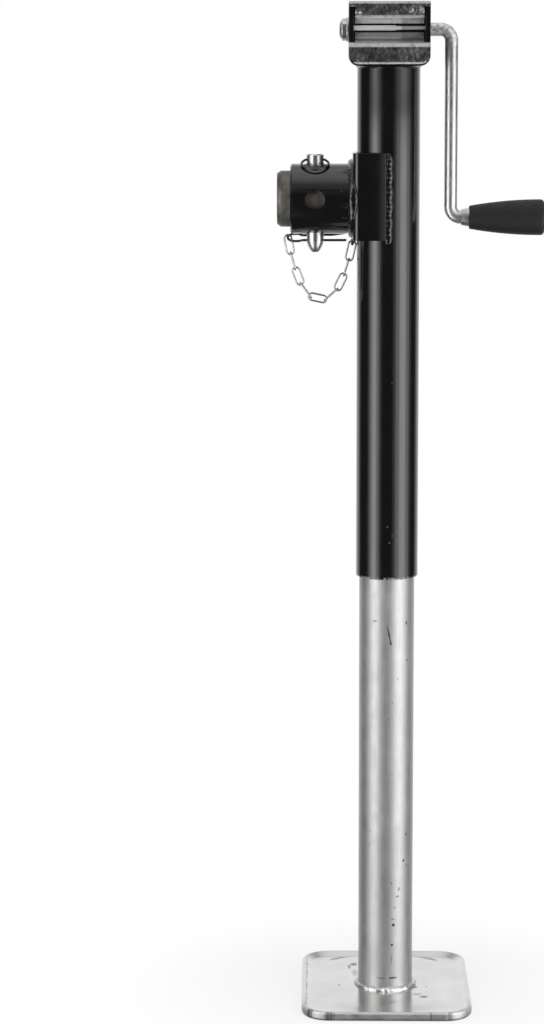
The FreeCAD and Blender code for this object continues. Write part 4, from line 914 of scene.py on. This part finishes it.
def make_floor():
    """Pale floor that stays white in view and keeps a soft shadow."""
    half, below = 6.0, 0.0002
    shadow_from, shadow_to = 0.09, 0.26
    mesh = bpy.data.meshes.new("floor")
    corners = [(-half, -half, 0), (half, -half, 0), (half, half, 0), (-half, half, 0)]
    mesh.from_pydata(corners, [], [(0, 1, 2, 3)])
    floor = bpy.data.objects.new("floor", mesh)
    floor.location.z = -below
    scene.collection.objects.link(floor)
    made = bpy.data.materials.new("pale_floor")
    made.use_nodes = True
    tree = made.node_tree
    tree.nodes.clear()
    rays = node(tree, "ShaderNodeLightPath")
    lit = node(tree, "ShaderNodeBsdfDiffuse", {"Color": grey(0.5)}).outputs[0]
    seen = node(tree, "ShaderNodeBsdfDiffuse", {"Color": grey(0.86)}).outputs[0]
    white = node(tree, "ShaderNodeEmission", {"Color": grey(1.0), "Strength": 1.0}).outputs[0]
    away = vectors(tree, "LENGTH", place_in(tree), output=1)
    share = ramp(tree, away, shadow_from, shadow_to, 0.75, 1.0)
    pale = node(tree, "ShaderNodeMixShader", {0: share, 1: seen, 2: white}).outputs[0]
    shown = {0: rays.outputs["Is Camera Ray"], 1: lit, 2: pale}
    whole = node(tree, "ShaderNodeMixShader", shown).outputs[0]
    node(tree, "ShaderNodeOutputMaterial", {"Surface": whole})
    mesh.materials.append(made)
    floor.visible_glossy = False
    floor.visible_shadow = False


def make_world():
    """White to the camera, and behind the stand in reflections; a dim studio elsewhere."""
    world = bpy.data.worlds.new("studio")
    scene.world = world
    world.use_nodes = True
    tree = world.node_tree
    tree.nodes.clear()
    # Where each part of the sky starts and is full, as parts of a direction one long
    behind_at, beside_at, raised_at = (0.48, 0.95), (0.55, 0.85), (0.12, 0.3)
    above_at, overhead_at = (0.22, 0.72), (0.75, 0.95)
    dim = (0.042, 0.042, 0.047, 1)
    x, y, z = axes(tree, node(tree, "ShaderNodeTexCoord").outputs["Generated"])
    behind = ramp(tree, y, *behind_at)
    beside = times(tree, ramp(tree, sums(tree, "ABSOLUTE", x), *beside_at),
                   ramp(tree, z, *raised_at))
    studio = blend(tree, behind, dim, grey(0.9))
    studio = over(tree, studio, grey(0.3), beside)
    studio = over(tree, studio, grey(0.3), ramp(tree, z, *above_at))
    studio = over(tree, studio, grey(0.95), ramp(tree, z, *overhead_at))
    rays = node(tree, "ShaderNodeLightPath").outputs
    mirrored = highest(tree, rays["Is Glossy Ray"], rays["Is Transmission Ray"])
    seen = highest(tree, rays["Is Camera Ray"], times(tree, mirrored, behind))
    inputs = {"Color": over(tree, studio, grey(1.0), seen), "Strength": 1.0}
    shade = node(tree, "ShaderNodeBackground", inputs).outputs[0]
    node(tree, "ShaderNodeOutputWorld", {"Surface": shade})


# Each softbox is three lamps: name, share of the brightness, share of the width, how far forward
SOFTBOX_AWAY = 0.8
SOFTBOX_LAMPS = [
    ("skirt", 0.11, 1.5, -0.02),
    ("edge", 0.36, 1.0, 0.0),
    ("middle", 0.53, 0.42, 0.02),
]

# Softboxes, one above the other: name, azimuth in degrees, width; low, high and both brightnesses
SIDES = [("right", 55, 0.82), ("left", -51, 0.55)]
TIERS = [(-0.5, 0.0, 1.9, 2.1), (0.02, 0.81, 2.8, 3.0), (0.83, 1.5, 1.2, 1.5)]


def softbox(label, azimuth, width, low, high, level):
    """Upright softbox that looks at the stand's axis; level is the brightness of its middle."""
    angle = math.radians(azimuth)
    for part, share, spread, forward in SOFTBOX_LAMPS:
        light = bpy.data.lights.new(f"{label}_{part}", "AREA")
        light.shape = "RECTANGLE"
        light.size = width * spread
        light.size_y = high - low
        light.energy = level * share * math.pi * light.size * light.size_y
        lamp = bpy.data.objects.new(light.name, light)
        away = SOFTBOX_AWAY - forward
        lamp.location = (math.sin(angle) * away, -math.cos(angle) * away, (low + high) / 2)
        lamp.rotation_euler = (math.radians(90), 0, angle)
        scene.collection.objects.link(lamp)


def make_camera():
    """Camera at the photograph's place, which was measured from the tubes' and foot's outlines."""
    focal_px, long_side_px, sensor = 2880, 1024, 36
    place = (-0.058, -2.632, 0.8526)
    tilt, turn, roll = math.radians(8.55), math.radians(1.05), math.radians(-0.10)
    data = bpy.data.cameras.new("camera")
    data.sensor_width = sensor
    data.lens = focal_px / long_side_px * sensor
    camera = bpy.data.objects.new("camera", data)
    camera.location = place
    facing = Euler((math.pi / 2 - tilt, 0, turn)).to_matrix()
    camera.rotation_euler = (facing @ Matrix.Rotation(roll, 3, "Z")).to_euler()
    scene.collection.objects.link(camera)
    scene.camera = camera


make_floor()
make_world()
for low, high, *levels in TIERS:
    for (side, azimuth, width), level in zip(SIDES, levels):
        softbox(f"{side}_{low}", azimuth, width, low, high, level)
make_camera()
scene.view_settings.view_transform = "Standard"
